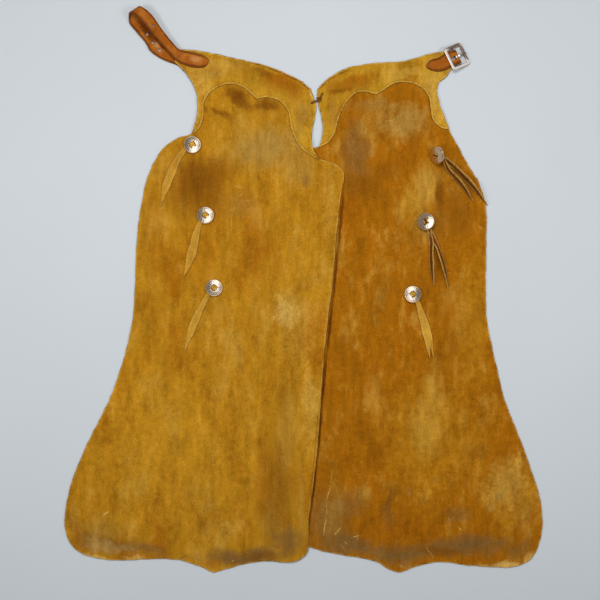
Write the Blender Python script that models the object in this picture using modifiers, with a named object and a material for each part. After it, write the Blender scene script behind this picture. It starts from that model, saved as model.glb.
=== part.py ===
"""Leather chaps laid flat, built as their maker would: cut leather pieces that lie on each other.

+X is the right of the garment as it lies, +Y runs towards the waist and +Z off the surface it rests on.
Tables and sizes are in millimetres. Objects are in metres.
"""
import math

import bmesh
import bpy
import numpy as np
from mathutils import Matrix, Vector
from mathutils.bvhtree import BVHTree

# Driving sizes, in millimetres
MM = 0.001
GAP = 0.3
PANEL_LEATHER = 2.2
STRAP_LEATHER = 3.0
THONG_LEATHER = 1.8
OUTLINE_STEP = 15.0
LEG_CELL = 24.0
YOKE_CELL = 12.0
LEG_FLAT, LEG_RAMP = 35.0, 45.0
YOKE_FLAT, YOKE_RAMP = 16.0, 26.0
STRAP_FLAT, STRAP_RAMP = 36.0, 30.0
CHAPE_FLAT, CHAPE_RAMP = 10.0, 30.0
STRAP_CELL = 9.0
TAIL_CELL = 9.0
LACE_STEP = 2.0
HOLE_SIDES = 12

# Legs: one row for each height, with the edge at the side of the thigh and the edge between the legs
LEG_ROWS = {
    "left": {
        "columns": ("y", "outer_x", "inner_x"),
        "rows": (
            (205, -291, 73),
            (168, -299, 67),
            (94, -309, 59),
            (20, -312, 53),
            (-54, -317, 44),
            (-128, -334, 36),
            (-202, -360, 31),
            (-276, -397, 26),
            (-350, -428, 18),
            (-387, -438, 13),
            (-424, -443, 8),
        ),
    },
    "right": {
        "columns": ("y", "outer_x", "inner_x"),
        "rows": (
            (205, 321, -25),
            (168, 334, -23),
            (94, 337, -20),
            (20, 336, -17),
            (-54, 338, -14),
            (-128, 353, -12),
            (-202, 371, -10),
            (-276, 400, -8),
            (-350, 426, -5),
            (-387, 437, -3),
            (-424, 441, -2),
        ),
    },
}

# Hems: how far along from the outer edge, and how far below the last row; "point" is the centre point
HEM_ROWS = {
    "left": {
        "corner_side": (
            (0.0, 0), (0.003, 17), (0.017, 38), (0.060, 59), (0.134, 71), (0.230, 74.5),
            (0.397, 72), (0.480, 75), (0.545, 84), (0.611, 98),
        ),
        "point_side": (
            (0.611, 98), (0.669, 90), (0.763, 79.5), (0.855, 76), (0.902, 78.5), (0.972, 70.5),
            (0.997, 57), (1.0, 44), (1.0, 0),
        ),
    },
    "right": {
        "corner_side": (
            (0.0, 0), (0.003, 22), (0.012, 41), (0.046, 71), (0.108, 86), (0.203, 87),
            (0.303, 84.5), (0.420, 78), (0.520, 85), (0.596, 98),
        ),
        "point_side": (
            (0.596, 98), (0.637, 92), (0.680, 80), (0.730, 73), (0.800, 67.5), (0.883, 61),
            (0.947, 54), (0.990, 45), (1.0, 0),
        ),
    },
}

# The cut of each leg at the top: over the hip, under the yoke and round the corner between the legs
LEG_TOPS = {
    "left": {
        "hip": ((-291, 205), (-276, 240), (-255, 268), (-233, 282), (-209, 289)),
        "under_yoke": (
            (-209, 289), (-198, 305), (-193, 330), (-187, 357), (-170, 378), (-150, 390),
            (-130, 394), (-110, 389), (-87, 371), (-63, 372), (-39, 364), (-20, 344),
            (-11, 312), (0, 284), (27, 243),
        ),
        "corner": ((27, 243), (44, 239), (63, 231), (73, 219), (73, 205)),
    },
    "right": {
        "hip": ((321, 205), (303, 233), (286, 264), (268, 298)),
        "under_yoke": (
            (268, 298), (256, 310), (248, 328), (243, 354), (229, 378), (204, 394),
            (178, 398), (152, 389), (134, 377), (113, 380), (90, 377), (66, 354),
            (53, 328), (44, 299), (29, 266),
        ),
        "corner": ((29, 266), (7, 260), (-11, 249), (-22, 231), (-25, 205)),
    },
}

# Yokes: each run is smooth, and the runs meet at corners
YOKE_RUNS = {
    "left": {
        "waist": (
            (12, 373), (-4, 386), (-30, 400), (-56, 411), (-94, 422), (-133, 430),
            (-185, 441), (-211, 444), (-233, 445),
        ),
        "belt_end": ((-233, 445), (-239, 422)),
        "side": ((-239, 422), (-226, 411), (-211, 392), (-201, 372), (-196, 342), (-201, 311), (-208, 289)),
        "outer_lobe": (
            (-208, 289), (-195, 299), (-186, 320), (-185, 347), (-175, 365), (-154, 378),
            (-133, 382), (-110, 374), (-88, 354),
        ),
        "inner_lobe": (
            (-88, 354), (-68, 357), (-48, 352), (-31, 334), (-25, 306), (-14, 276), (1, 257), (27, 242),
        ),
        "front": (
            (27, 242), (17, 261), (14, 275), (15, 297), (20, 322), (23, 338), (19, 352), (15, 364), (12, 373),
        ),
    },
    "right": {
        "waist": (
            (25, 371), (36, 385), (54, 398), (79, 411), (104, 417), (141, 421), (178, 423),
            (202, 428), (227, 436), (259, 442),
        ),
        "belt_end": ((259, 442), (273, 411)),
        "side": ((273, 411), (264, 397), (250, 385), (245, 371), (249, 351), (260, 319), (268, 298)),
        "outer_lobe": (
            (268, 298), (254, 301), (239, 314), (234, 337), (230, 359), (215, 376), (190, 385),
            (165, 382), (148, 371), (134, 362),
        ),
        "inner_lobe": (
            (134, 362), (118, 367), (99, 366), (78, 347), (65, 322), (57, 293), (46, 275), (29, 265),
        ),
        "front": ((29, 265), (33, 282), (35, 297), (32, 324), (27, 344), (24, 357), (25, 371)),
    },
}

# Folds: soft ridges where a panel leaves the surface, each along a straight line
FOLDS = {
    "columns": ("x1", "y1", "x2", "y2", "half_width", "height"),
    "left_leg": (
        (-52, -250, -40, -470, 34, 4.5),
        (-120, 60, -60, 170, 40, 3.0),
        (-350, -330, -250, -400, 38, 3.0),
        (-230, 190, -215, 30, 30, 2.5),
    ),
    "right_leg": (
        (246, 225, 232, 120, 26, 4.0),
        (120, -150, 150, -330, 36, 3.5),
        (300, -300, 370, -420, 36, 3.0),
        (80, 150, 110, 30, 34, 2.5),
    ),
    "left_yoke": (
        (-168, 346, -104, 312, 10, 2.5),
        (-120, 412, -40, 390, 14, 2.5),
    ),
    "right_yoke": (
        (50, 372, 100, 380, 12, 2.5),
        (150, 402, 215, 408, 14, 2.0),
    ),
}

# Billet strap: a row for each section, with both edges of its middle layer
BILLET = {
    "columns": ("right_x", "right_y", "right_z", "left_x", "left_y", "left_z"),
    "rows": (
        (-176, 425, 7.3, -177, 419, 7.3),
        (-180, 430, 7.3, -181, 414, 7.3),
        (-195, 437, 7.3, -197, 411, 7.3),
        (-218, 442, 7.4, -222, 417, 7.4),
        (-228, 444, 8.0, -234, 423, 8.6),
        (-243, 458, 9.5, -250, 439, 12.0),
        (-263, 483, 12.0, -271, 462, 18.0),
        (-283, 510, 16.0, -293, 489, 23.0),
        (-299, 521, 19.5, -312, 506, 26.0),
        (-303, 522, 15.0, -320, 509, 20.0),
        (-302, 518, 8.5, -323, 503, 9.0),
        (-299, 508, 5.2, -323, 496, 3.8),
        (-284, 488, 4.6, -309, 477, 2.3),
        (-269, 463, 5.0, -291, 455, 2.0),
        (-262, 453, 4.5, -286, 445, 2.0),
        (-246, 444, 2.4, -267, 430, 1.8),
        (-227, 435, 1.65, -241, 419, 1.62),
        (-208, 424, 1.55, -216, 410, 1.55),
    ),
    "hole_rows": (6.5, 12.4, 13.1, 14.4),
    "hole_diameter": 5.5,
    "hole_depth": 9.0,
    "tuck_outline": ((-248, 452), (-208, 428), (-208, 408), (-248, 412)),
}

# Buckle: its frame, bar and tongue, and the strap leather folded round the bar
BUCKLE = {
    "bar_x": 282.0,
    "bar_y": 431.5,
    "heading_deg": 25.5,
    "tilt_deg": 16.6,
    "length": 38.0,
    "width": 44.5,
    "side_width": 5.4,
    "side_thickness": 3.2,
    "corner_radius": 5.2,
    "inner_radius": 2.2,
    "edge_radius": 1.0,
    "bar_radius": 1.6,
    "centre_ahead": -0.2,
    "floor_gap": 0.1,
}
TONGUE = {
    "ring_radius": 3.9,
    "ring_width": 4.4,
    "arm_thickness": 2.2,
    "arm_bevel": 0.5,
    "arm_columns": ("ahead", "height", "half_width"),
    "arm_rows": ((1.4, 3.0, 2.0), (5.0, 4.5, 2.0), (9.5, 5.6, 1.9), (13.6, 5.8, 1.7), (17.4, 5.6, 1.3)),
}
CHAPE = {
    "columns": ("upper_x", "upper_y", "lower_x", "lower_y", "z"),
    "on_yoke": (
        (225, 416, 225, 413, 6.1),
        (232, 424, 231, 408, 6.1),
        (239, 427.5, 239, 405, 6.1),
        (248, 429.5, 249, 404, 6.1),
        (256, 435, 259, 406, 6.1),
        (266, 440.5, 273, 413, 6.5),
    ),
    "leather": 2.2,
    "half_width": 13.0,
    "narrowing": 0.03,
    "fold_steps": 8,
    "under_yoke": (12.0, 24.0, 36.0),
    "slot_width": 6.0,
    "slot_back": 12.0,
    "slot_ahead": 6.0,
    "slot_top": 12.0,
}

# Conchos: slotted domed discs, and how each lies
CONCHO = {
    "radius": 16.5,
    "height": 4.5,
    "metal": 1.2,
    "slot_offset": 4.0,
    "slot_width": 3.0,
    "slot_length": 10.5,
    "slot_depth": 14.0,
    "segments": 28,
    "dome_radii": (5.0, 9.5, 13.0),
    "rim_bevel": 0.4,
}
THREAD = {"turn_radius": 1.5, "below_slot": 1.1, "edge_room": 1.3, "rim_inset": 2.0, "root": 1.0}
TIES = {
    "columns": ("x", "y", "thread_deg", "tilt_deg", "tilt_towards_deg"),
    "left_1": (-206, 269, 206, 4.0, 26),
    "left_2": (-182, 139, 232, 4.0, 52),
    "left_3": (-166, 5, 228, 4.0, 48),
    "right_1": (245, 249, -20, 50.0, 196),
    "right_2": (225, 127, -70, 14.0, 150),
    "right_3": (201, -7, -58, 6.0, 122),
}
TIE_NAMES = tuple(name for name in TIES if name != "columns")

# Tails of the ties: where each ends, how it bows, how wide it is and how far it stands on edge
TAILS = {
    "columns": ("root_x", "root_y", "tip_x", "tip_y", "bow", "half_width", "roll_deg"),
    "left_1": ((-226, 256, -265, 156, -4, 7.4, 0),),
    "left_2": ((-197, 118, -222, 26, 3, 8.0, 0),),
    "left_3": ((-182, -16, -220, -110, -3, 7.0, 0),),
    "right_1": ((262, 242, 339, 158, 3, 7.0, 66), (256, 232, 313, 164, 3, 6.5, 74)),
    "right_2": ((236, 100, 240, 9, -3, 6.5, 72), (239, 98, 266, 6, 3, 6.5, -68)),
    "right_3": ((211, -26, 232, -124, 3, 6.5, 0), (213, -27, 239, -122, 3, 5.0, 0)),
}
TAIL_STEP = 0.25

# Centre lace: through a hole in each yoke, with a small knot on the right one
LACE = {
    "radius": 1.5,
    "hole_radius": 2.3,
    "left_hole": (14, 346),
    "right_hole": (34, 364),
    "knot_place": (28, 353),
    "knot_radius": 4.6,
    "knot_height": 6.0,
    "reach": 8.0,
    "inset": 0.8,
}

COLOURS = {
    "columns": ("red", "green", "blue", "roughness", "metallic"),
    "left_suede": (0.40, 0.22, 0.035, 0.95, 0.0),
    "right_suede": (0.34, 0.16, 0.025, 0.95, 0.0),
    "yoke_suede": (0.46, 0.27, 0.055, 0.95, 0.0),
    "strap_leather": (0.36, 0.11, 0.02, 0.45, 0.0),
    "tie_suede": (0.44, 0.25, 0.05, 0.95, 0.0),
    "silver": (0.72, 0.69, 0.66, 0.30, 1.0),
    "steel": (0.66, 0.64, 0.62, 0.25, 1.0),
}


# Scene and materials

def clear_scene():
    for item in list(bpy.data.objects):
        bpy.data.objects.remove(item, do_unlink=True)


def new_collection(name):
    made = bpy.data.collections.new(name)
    bpy.context.scene.collection.children.link(made)
    return made


def material(name, slot):
    red, green, blue, roughness, metallic = COLOURS[slot]
    made = bpy.data.materials.new(name)
    made.use_nodes = True
    shader = made.node_tree.nodes["Principled BSDF"]
    shader.inputs["Base Color"].default_value = (red, green, blue, 1.0)
    shader.inputs["Roughness"].default_value = roughness
    shader.inputs["Metallic"].default_value = metallic
    return made


def add_object(name, mesh, slot, smooth=True):
    if smooth:
        mesh.shade_smooth()
        mesh.set_sharp_from_angle(angle=math.radians(50))
    made = bpy.data.objects.new(name, mesh)
    made.data.materials.append(material(name + "_finish", slot))
    PARTS.objects.link(made)
    made.parent = ROOT
    return made


def add_cutter(name, mesh):
    made = bpy.data.objects.new(name, mesh)
    CUTTERS.objects.link(made)
    made.hide_render = True
    made.display_type = "WIRE"
    made.parent = ROOT
    return made


def combine(target, other, operation):
    modifier = target.modifiers.new(operation.lower() + "_" + other.name, "BOOLEAN")
    modifier.operation = operation
    modifier.object = other
    modifier.solver = "EXACT"
    return modifier


def bake(target):
    """Turns an object's modifiers into its mesh."""
    depsgraph = bpy.context.evaluated_depsgraph_get()
    mesh = bpy.data.meshes.new_from_object(target.evaluated_get(depsgraph))
    target.modifiers.clear()
    target.data = mesh
    return target


# Smooth outlines

def smooth_run(rows, step=OUTLINE_STEP):
    """Points about a step apart on a smooth curve through the rows."""
    rows = np.array(rows, float)
    along = np.concatenate([[0], np.cumsum(np.linalg.norm(np.diff(rows, axis=0), axis=1) + 1e-9)])
    slopes = np.gradient(rows, along, axis=0) if len(rows) > 2 else np.repeat(
        (rows[1:] - rows[:1]) / along[1], 2, axis=0
    )
    points = [rows[0]]
    for i in range(len(rows) - 1):
        span = along[i + 1] - along[i]
        for k in range(1, max(1, round(span / step)) + 1):
            t = k / max(1, round(span / step))
            h00 = 2 * t**3 - 3 * t**2 + 1
            h10 = t**3 - 2 * t**2 + t
            h01 = -2 * t**3 + 3 * t**2
            h11 = t**3 - t**2
            points.append(
                h00 * rows[i] + h10 * span * slopes[i] + h01 * rows[i + 1] + h11 * span * slopes[i + 1]
            )
    return np.array(points)


def closed_outline(runs, step=OUTLINE_STEP):
    """One closed outline from smooth runs that meet end to end."""
    return np.concatenate([smooth_run(run, step)[:-1] for run in runs])


def leg_outline(side):
    rows = LEG_ROWS[side]["rows"]
    down, outer, inner = np.array(rows, float).T
    last_y, last_outer, last_inner = rows[-1]
    hem = [
        [(last_outer + share * (last_inner - last_outer), last_y - below) for share, below in run]
        for run in HEM_ROWS[side].values()
    ]
    tops = LEG_TOPS[side]
    return closed_outline([
        tops["hip"][::-1],
        np.stack([outer, down], axis=1),
        hem[0],
        hem[1],
        np.stack([inner, down], axis=1)[::-1],
        tops["corner"][::-1],
        tops["under_yoke"][::-1],
    ])


def yoke_outline(side):
    return closed_outline(list(YOKE_RUNS[side].values()), YOKE_CELL)


def inside(points, outline):
    """Which points lie inside a closed outline."""
    start, end = outline, np.roll(outline, -1, axis=0)
    x, y = points[:, :1], points[:, 1:2]
    crosses = (start[:, 1] > y) != (end[:, 1] > y)
    rise = np.where(np.abs(end[:, 1] - start[:, 1]) < 1e-9, 1e-9, end[:, 1] - start[:, 1])
    at = start[:, 0] + (y - start[:, 1]) * (end[:, 0] - start[:, 0]) / rise
    return (np.count_nonzero(crosses & (x < at), axis=1) % 2) == 1


def distance_outside(points, outline):
    """How far each point is outside a closed outline; zero or less inside."""
    start = outline
    run = np.roll(outline, -1, axis=0) - start
    offset = points[:, None, :] - start[None]
    share = np.clip((offset * run).sum(2) / np.maximum((run * run).sum(1), 1e-9), 0, 1)
    away = np.linalg.norm(offset - share[..., None] * run, axis=2).min(axis=1)
    return np.where(inside(points, outline), -away, away)


# Heights: how a panel lies on what is under it

def fade(distance, flat, ramp):
    """One up to a distance, then softly down to zero."""
    share = np.clip((distance - flat) / ramp, 0, 1)
    return 1 - share * share * (3 - 2 * share)


def fold_height(points, name):
    height = np.zeros(len(points))
    for x1, y1, x2, y2, half_width, rise in FOLDS[name]:
        start, run = np.array([x1, y1], float), np.array([x2 - x1, y2 - y1], float)
        length = np.linalg.norm(run)
        along = (points - start) @ run / length**2
        across = np.abs((points - start) @ np.array([-run[1], run[0]]) / length)
        ends = np.clip(np.minimum(along, 1 - along) * 3 + 0.5, 0, 1)
        height = np.maximum(height, rise * fade(across, 0, half_width) * ends * ends * (3 - 2 * ends))
    return height


def resting_height(points, name, layers):
    """The underside of a panel: on the layers below it, down to the surface beside them, with its folds."""
    height = np.zeros(len(points))
    for outline, top, flat, ramp in layers:
        height = np.maximum(height, (top + GAP) * fade(distance_outside(points, outline), flat, ramp))
    return height + fold_height(points, name)


def solid_tree(item):
    return BVHTree.FromObject(item, bpy.context.evaluated_depsgraph_get())


def top_under(x, y, trees, reach):
    """The highest point, in millimetres, of the solids within reach of a place; zero where there are none."""
    best = 0.0
    for radius in (0.0, reach / 2, reach):
        for step in range(12 if radius else 1):
            angle = step * math.tau / 12
            start = Vector((x + radius * math.cos(angle), y + radius * math.sin(angle), 200.0)) * MM
            for tree in trees:
                place = tree.ray_cast(start, Vector((0, 0, -1)))[0]
                if place is not None:
                    best = max(best, place.z / MM)
    return best


def panel(name, outline, cell, layers, below, slot):
    """A cut piece of leather: its outline divided by a grid, laid on what is under it and given its thickness."""
    shape = bmesh.new()
    shape.faces.new([shape.verts.new((x * MM, y * MM, 0)) for x, y in outline])
    shape.normal_update()
    if shape.faces[:][0].normal.z < 0:
        bmesh.ops.reverse_faces(shape, faces=shape.faces[:])
    low, high = outline.min(axis=0), outline.max(axis=0)
    for axis in (0, 1):
        for k in range(1, math.ceil((high[axis] - low[axis]) / cell)):
            place, normal = Vector((0, 0, 0)), Vector((0, 0, 0))
            place[axis] = (low[axis] + k * cell) * MM
            normal[axis] = 1
            bmesh.ops.bisect_plane(
                shape, geom=shape.verts[:] + shape.edges[:] + shape.faces[:],
                plane_co=place, plane_no=normal, dist=0.0008,
            )
    shape.verts.ensure_lookup_table()
    places = np.array([(v.co.x / MM, v.co.y / MM) for v in shape.verts])
    heights = resting_height(places, name, layers)
    trees = [solid_tree(item) for item in below]
    for vert, (x, y), height in zip(shape.verts, places, heights):
        if trees:
            under = top_under(x, y, trees, cell * 0.75)
            height = max(height, under + GAP if under else 0.0)
        vert.co.z = height * MM
    mesh = bpy.data.meshes.new(name)
    shape.to_mesh(mesh)
    shape.free()
    made = add_object(name, mesh, slot)
    wall = made.modifiers.new("leather", "SOLIDIFY")
    wall.thickness = PANEL_LEATHER * MM
    wall.offset = 1.0
    wall.use_even_offset = True
    return made


# Strips of leather

def strip(name, first_edge, second_edge, thickness, slot, across=2):
    """A strip between two edge lines of its middle layer."""
    shape = bmesh.new()
    rows = []
    for one, other in zip(first_edge, second_edge):
        one, other = Vector(one), Vector(other)
        rows.append([shape.verts.new(one.lerp(other, k / across) * MM) for k in range(across + 1)])
    for row, following in zip(rows, rows[1:]):
        for k in range(across):
            shape.faces.new((row[k], following[k], following[k + 1], row[k + 1]))
    mesh = bpy.data.meshes.new(name)
    shape.to_mesh(mesh)
    shape.free()
    made = add_object(name, mesh, slot)
    wall = made.modifiers.new("leather", "SOLIDIFY")
    wall.thickness = thickness * MM
    wall.offset = 0.0
    wall.use_even_offset = True
    return made


def box_cutter(name, centre, size, rotation):
    shape = bmesh.new()
    bmesh.ops.create_cube(shape, size=1.0)
    bmesh.ops.scale(shape, vec=Vector(size) * MM, verts=shape.verts)
    mesh = bpy.data.meshes.new(name)
    shape.to_mesh(mesh)
    shape.free()
    made = add_cutter(name, mesh)
    made.matrix_local = Matrix.Translation(Vector(centre) * MM) @ rotation.to_4x4()
    return made


def rod(name, centre, radius, length, rotation, sides=16):
    """A cylinder along its own Z."""
    shape = bmesh.new()
    bmesh.ops.create_cone(
        shape, cap_ends=True, segments=sides, radius1=radius * MM, radius2=radius * MM, depth=length * MM
    )
    mesh = bpy.data.meshes.new(name)
    shape.to_mesh(mesh)
    shape.free()
    made = add_cutter(name, mesh)
    made.matrix_local = Matrix.Translation(Vector(centre) * MM) @ rotation.to_4x4()
    return made


def facing(direction):
    """The rotation that turns +Z to a direction."""
    return Vector(direction).to_track_quat("Z", "Y").to_matrix()


def billet_strap():
    rows = smooth_run(BILLET["rows"], STRAP_CELL)
    made = strip("billet_strap", rows[:, :3], rows[:, 3:], STRAP_LEATHER, "strap_leather")
    table = np.array(BILLET["rows"], float)
    for number, at in enumerate(BILLET["hole_rows"]):
        base, share = int(at), at - int(at)
        row = table[base] * (1 - share) + table[base + 1] * share
        run = table[base + 1] - table[base]
        middle = (row[:3] + row[3:]) / 2
        normal = Vector(row[3:] - row[:3]).cross(Vector((run[:3] + run[3:]) / 2))
        radius, depth = BILLET["hole_diameter"] / 2, BILLET["hole_depth"]
        hole = rod(f"billet_hole_{number + 1}", middle, radius, depth, facing(normal), HOLE_SIDES)
        combine(made, hole, "DIFFERENCE")
    return made


# Buckle

def buckle_axes():
    heading, tilt = math.radians(BUCKLE["heading_deg"]), math.radians(BUCKLE["tilt_deg"])
    ahead = Vector((math.cos(heading), math.sin(heading), 0))
    side = Vector((-math.sin(heading), math.cos(heading), 0))
    return ahead, side, tilt


def bar_place():
    return Vector((BUCKLE["bar_x"], BUCKLE["bar_y"], CHAPE["leather"] + GAP + BUCKLE["bar_radius"]))


def buckle_lift():
    """How far the frame's middle layer is above its bar, square to the frame."""
    tilt = math.radians(BUCKLE["tilt_deg"])
    ahead = BUCKLE["length"] / 2 + BUCKLE["centre_ahead"]
    centre_z = BUCKLE["floor_gap"] + ahead * math.sin(tilt) + BUCKLE["side_thickness"] / 2 * math.cos(tilt)
    return (centre_z - bar_place().z) * math.cos(tilt)


def rounded_rectangle(length, width, radius, steps=5):
    points = []
    for turn, (sx, sy) in enumerate(((1, 1), (-1, 1), (-1, -1), (1, -1))):
        for k in range(steps + 1):
            angle = math.radians(90 * turn + 90 * k / steps)
            points.append((
                sx * (length / 2 - radius) + radius * math.cos(angle),
                sy * (width / 2 - radius) + radius * math.sin(angle),
            ))
    return points


def buckle_matrix():
    ahead, side, tilt = buckle_axes()
    turn = Matrix((ahead, side, Vector((0, 0, 1)))).transposed().to_4x4()
    return Matrix.Translation(bar_place() * MM) @ turn @ Matrix.Rotation(tilt, 4, "Y")


def buckle_frame():
    lift = buckle_lift()
    curve = bpy.data.curves.new("buckle_frame", "CURVE")
    curve.dimensions = "2D"
    curve.fill_mode = "BOTH"
    edge = BUCKLE["edge_radius"]
    inner_length = BUCKLE["length"] - 2 * BUCKLE["side_width"]
    inner_width = BUCKLE["width"] - 2 * BUCKLE["side_width"]
    outer_radius = BUCKLE["corner_radius"]
    loops = (
        rounded_rectangle(BUCKLE["length"] - 2 * edge, BUCKLE["width"] - 2 * edge, outer_radius - edge),
        rounded_rectangle(inner_length + 2 * edge, inner_width + 2 * edge, BUCKLE["inner_radius"] + edge, 3),
    )
    for loop in loops:
        spline = curve.splines.new("POLY")
        spline.points.add(len(loop) - 1)
        for point, (x, y) in zip(spline.points, loop):
            point.co = (x * MM, y * MM, 0, 1)
        spline.use_cyclic_u = True
    curve.extrude = (BUCKLE["side_thickness"] / 2 - edge) * MM
    curve.bevel_depth = edge * MM
    curve.bevel_resolution = 1
    drawn = bpy.data.objects.new("buckle_curve", curve)
    bpy.context.scene.collection.objects.link(drawn)
    mesh = bpy.data.meshes.new_from_object(drawn.evaluated_get(bpy.context.evaluated_depsgraph_get()))
    bpy.data.objects.remove(drawn)
    shape = bmesh.new()
    shape.from_mesh(mesh)
    bmesh.ops.remove_doubles(shape, verts=shape.verts, dist=0.00001)
    ahead_shift = BUCKLE["centre_ahead"] - lift * math.tan(math.radians(BUCKLE["tilt_deg"]))
    bmesh.ops.translate(shape, verts=shape.verts, vec=Vector((ahead_shift, 0, lift)) * MM)
    shape.to_mesh(mesh)
    shape.free()
    made = add_object("buckle_frame", mesh, "steel")
    made.matrix_local = buckle_matrix()
    bar = rod("buckle_bar", (0, 0, 0), BUCKLE["bar_radius"], BUCKLE["width"] - BUCKLE["side_width"],
              facing((0, 1, 0)))
    bar.matrix_local = buckle_matrix() @ facing((0, 1, 0)).to_4x4()
    combine(made, bar, "UNION")
    return made


def buckle_tongue():
    """A ring round the bar with an arm that rests on the far side of the frame."""
    inner = BUCKLE["bar_radius"] + GAP
    shape = bmesh.new()
    half = TONGUE["ring_width"] / 2
    section = ((inner, -half), (TONGUE["ring_radius"], -half), (TONGUE["ring_radius"], half), (inner, half))
    corners = [shape.verts.new((r * MM, z * MM, 0)) for r, z in section]
    for k in range(4):
        shape.edges.new((corners[k], corners[(k + 1) % 4]))
    mesh = bpy.data.meshes.new("buckle_tongue")
    shape.to_mesh(mesh)
    shape.free()
    made = add_object("buckle_tongue", mesh, "steel")
    made.matrix_local = buckle_matrix()
    turn = made.modifiers.new("ring", "SCREW")
    turn.axis = "Y"
    turn.steps = 20
    turn.render_steps = 20
    turn.use_merge_vertices = True
    turn.merge_threshold = 0.00001
    turn.use_normal_calculate = True
    shape = bmesh.new()
    rings = []
    half_thick, bevel = TONGUE["arm_thickness"] / 2, TONGUE["arm_bevel"]
    for ahead, height, half_width in TONGUE["arm_rows"]:
        ring = []
        for sy, sz, inset_y, inset_z in (
            (-1, -1, bevel, 0), (1, -1, bevel, 0), (1, -1, 0, bevel), (1, 1, 0, bevel),
            (1, 1, bevel, 0), (-1, 1, bevel, 0), (-1, 1, 0, bevel), (-1, -1, 0, bevel),
        ):
            ring.append(shape.verts.new(Vector((
                ahead, sy * (half_width - inset_y), height + sz * (half_thick - inset_z)
            )) * MM))
        rings.append(ring)
    for ring, following in zip(rings, rings[1:]):
        for k in range(8):
            shape.faces.new((ring[k], ring[(k + 1) % 8], following[(k + 1) % 8], following[k]))
    shape.faces.new(rings[0][::-1])
    shape.faces.new(rings[-1])
    bmesh.ops.recalc_face_normals(shape, faces=shape.faces)
    arm_mesh = bpy.data.meshes.new("tongue_arm")
    shape.to_mesh(arm_mesh)
    shape.free()
    arm = add_cutter("tongue_arm", arm_mesh)
    arm.matrix_local = buckle_matrix()
    combine(made, arm, "UNION")
    return made


def chape():
    """The pointed strap end on the yoke, folded round the bar and back under the yoke."""
    ahead, side, _ = buckle_axes()
    bar = bar_place()
    half = CHAPE["half_width"]
    turn = BUCKLE["bar_radius"] + GAP + CHAPE["leather"] / 2
    upper = [Vector((row[0], row[1], row[4])) for row in CHAPE["on_yoke"]]
    lower = [Vector((row[2], row[3], row[4])) for row in CHAPE["on_yoke"]]
    for step in range(CHAPE["fold_steps"] + 1):
        angle = math.radians(90 - 180 * step / CHAPE["fold_steps"])
        middle = bar + ahead * turn * math.cos(angle) + Vector((0, 0, turn * math.sin(angle)))
        upper.append(middle + side * half)
        lower.append(middle - side * half)
    for back in CHAPE["under_yoke"]:
        middle = bar - ahead * back - Vector((0, 0, turn))
        upper.append(middle + side * (half - CHAPE["narrowing"] * back))
        lower.append(middle - side * (half - CHAPE["narrowing"] * back))
    made = strip("buckle_chape", upper, lower, CHAPE["leather"], "strap_leather", 4)
    slot_length = CHAPE["slot_back"] + CHAPE["slot_ahead"]
    centre = bar + ahead * (CHAPE["slot_ahead"] - slot_length / 2)
    turn_matrix = Matrix((ahead, side, Vector((0, 0, 1)))).transposed()
    slot = box_cutter("chape_slot", centre, (slot_length, CHAPE["slot_width"], CHAPE["slot_top"]), turn_matrix)
    combine(made, slot, "DIFFERENCE")
    return made


def chape_outline():
    """Where the folded strap end lies under the yoke."""
    ahead, side, _ = buckle_axes()
    bar = bar_place()
    back, half = CHAPE["under_yoke"][-1], CHAPE["half_width"]
    corners = (bar + side * half, bar - ahead * back + side * half, bar - ahead * back - side * half, bar - side * half)
    return np.array([(c.x, c.y) for c in corners])


# Conchos and ties

def concho_matrix(name, top):
    """Where a concho lies: its rim above the tie on one side and just above the leg on the other."""
    x, y, _, tilt, towards = TIES[name]
    direction = math.radians(towards)
    lean = Vector((math.cos(direction), math.sin(direction), 0))
    axis = Vector((-lean.y, lean.x, 0))
    rim = top + GAP + CONCHO["radius"] * math.sin(math.radians(tilt))
    return Matrix.Translation(Vector((x, y, rim)) * MM) @ Matrix.Rotation(math.radians(tilt), 4, axis)


def dome(radius):
    return CONCHO["height"] * (1 - (radius / CONCHO["radius"]) ** 2)


def concho(name, matrix):
    """A domed disc turned from its section, with two slots for the tie."""
    outer, metal = CONCHO["radius"], CONCHO["metal"]
    inner = outer - metal
    bevel = CONCHO["rim_bevel"]
    section = [(0.0, dome(0) + metal)]
    section += [(r, dome(r) + metal) for r in CONCHO["dome_radii"]]
    section += [(outer - bevel, metal + bevel), (outer, metal - bevel), (outer, 0.0), (inner, 0.0)]
    section += [(r, dome(r)) for r in CONCHO["dome_radii"][::-1]]
    section += [(0.0, dome(0))]
    shape = bmesh.new()
    verts = [shape.verts.new((r * MM, 0, z * MM)) for r, z in section]
    for one, other in zip(verts, verts[1:]):
        shape.edges.new((one, other))
    mesh = bpy.data.meshes.new("concho_" + name)
    shape.to_mesh(mesh)
    shape.free()
    made = add_object("concho_" + name, mesh, "silver")
    made.matrix_local = matrix
    turn = made.modifiers.new("turn", "SCREW")
    turn.steps = CONCHO["segments"]
    turn.render_steps = CONCHO["segments"]
    turn.use_merge_vertices = True
    turn.merge_threshold = 0.00001
    turn.use_normal_calculate = True
    thread = Matrix.Rotation(thread_angle(name), 4, "Z")
    for number, sign in enumerate((1, -1)):
        size = (CONCHO["slot_width"], CONCHO["slot_length"], CONCHO["slot_depth"])
        slot = box_cutter(f"slot_{name}_{number + 1}", (0, 0, 0), size, Matrix.Identity(3))
        slot.matrix_local = matrix @ thread @ Matrix.Translation(Vector((sign * CONCHO["slot_offset"], 0, 3)) * MM)
        combine(made, slot, "DIFFERENCE")
    return made


def thread_angle(name):
    return math.radians(TIES[name][2])


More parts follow.
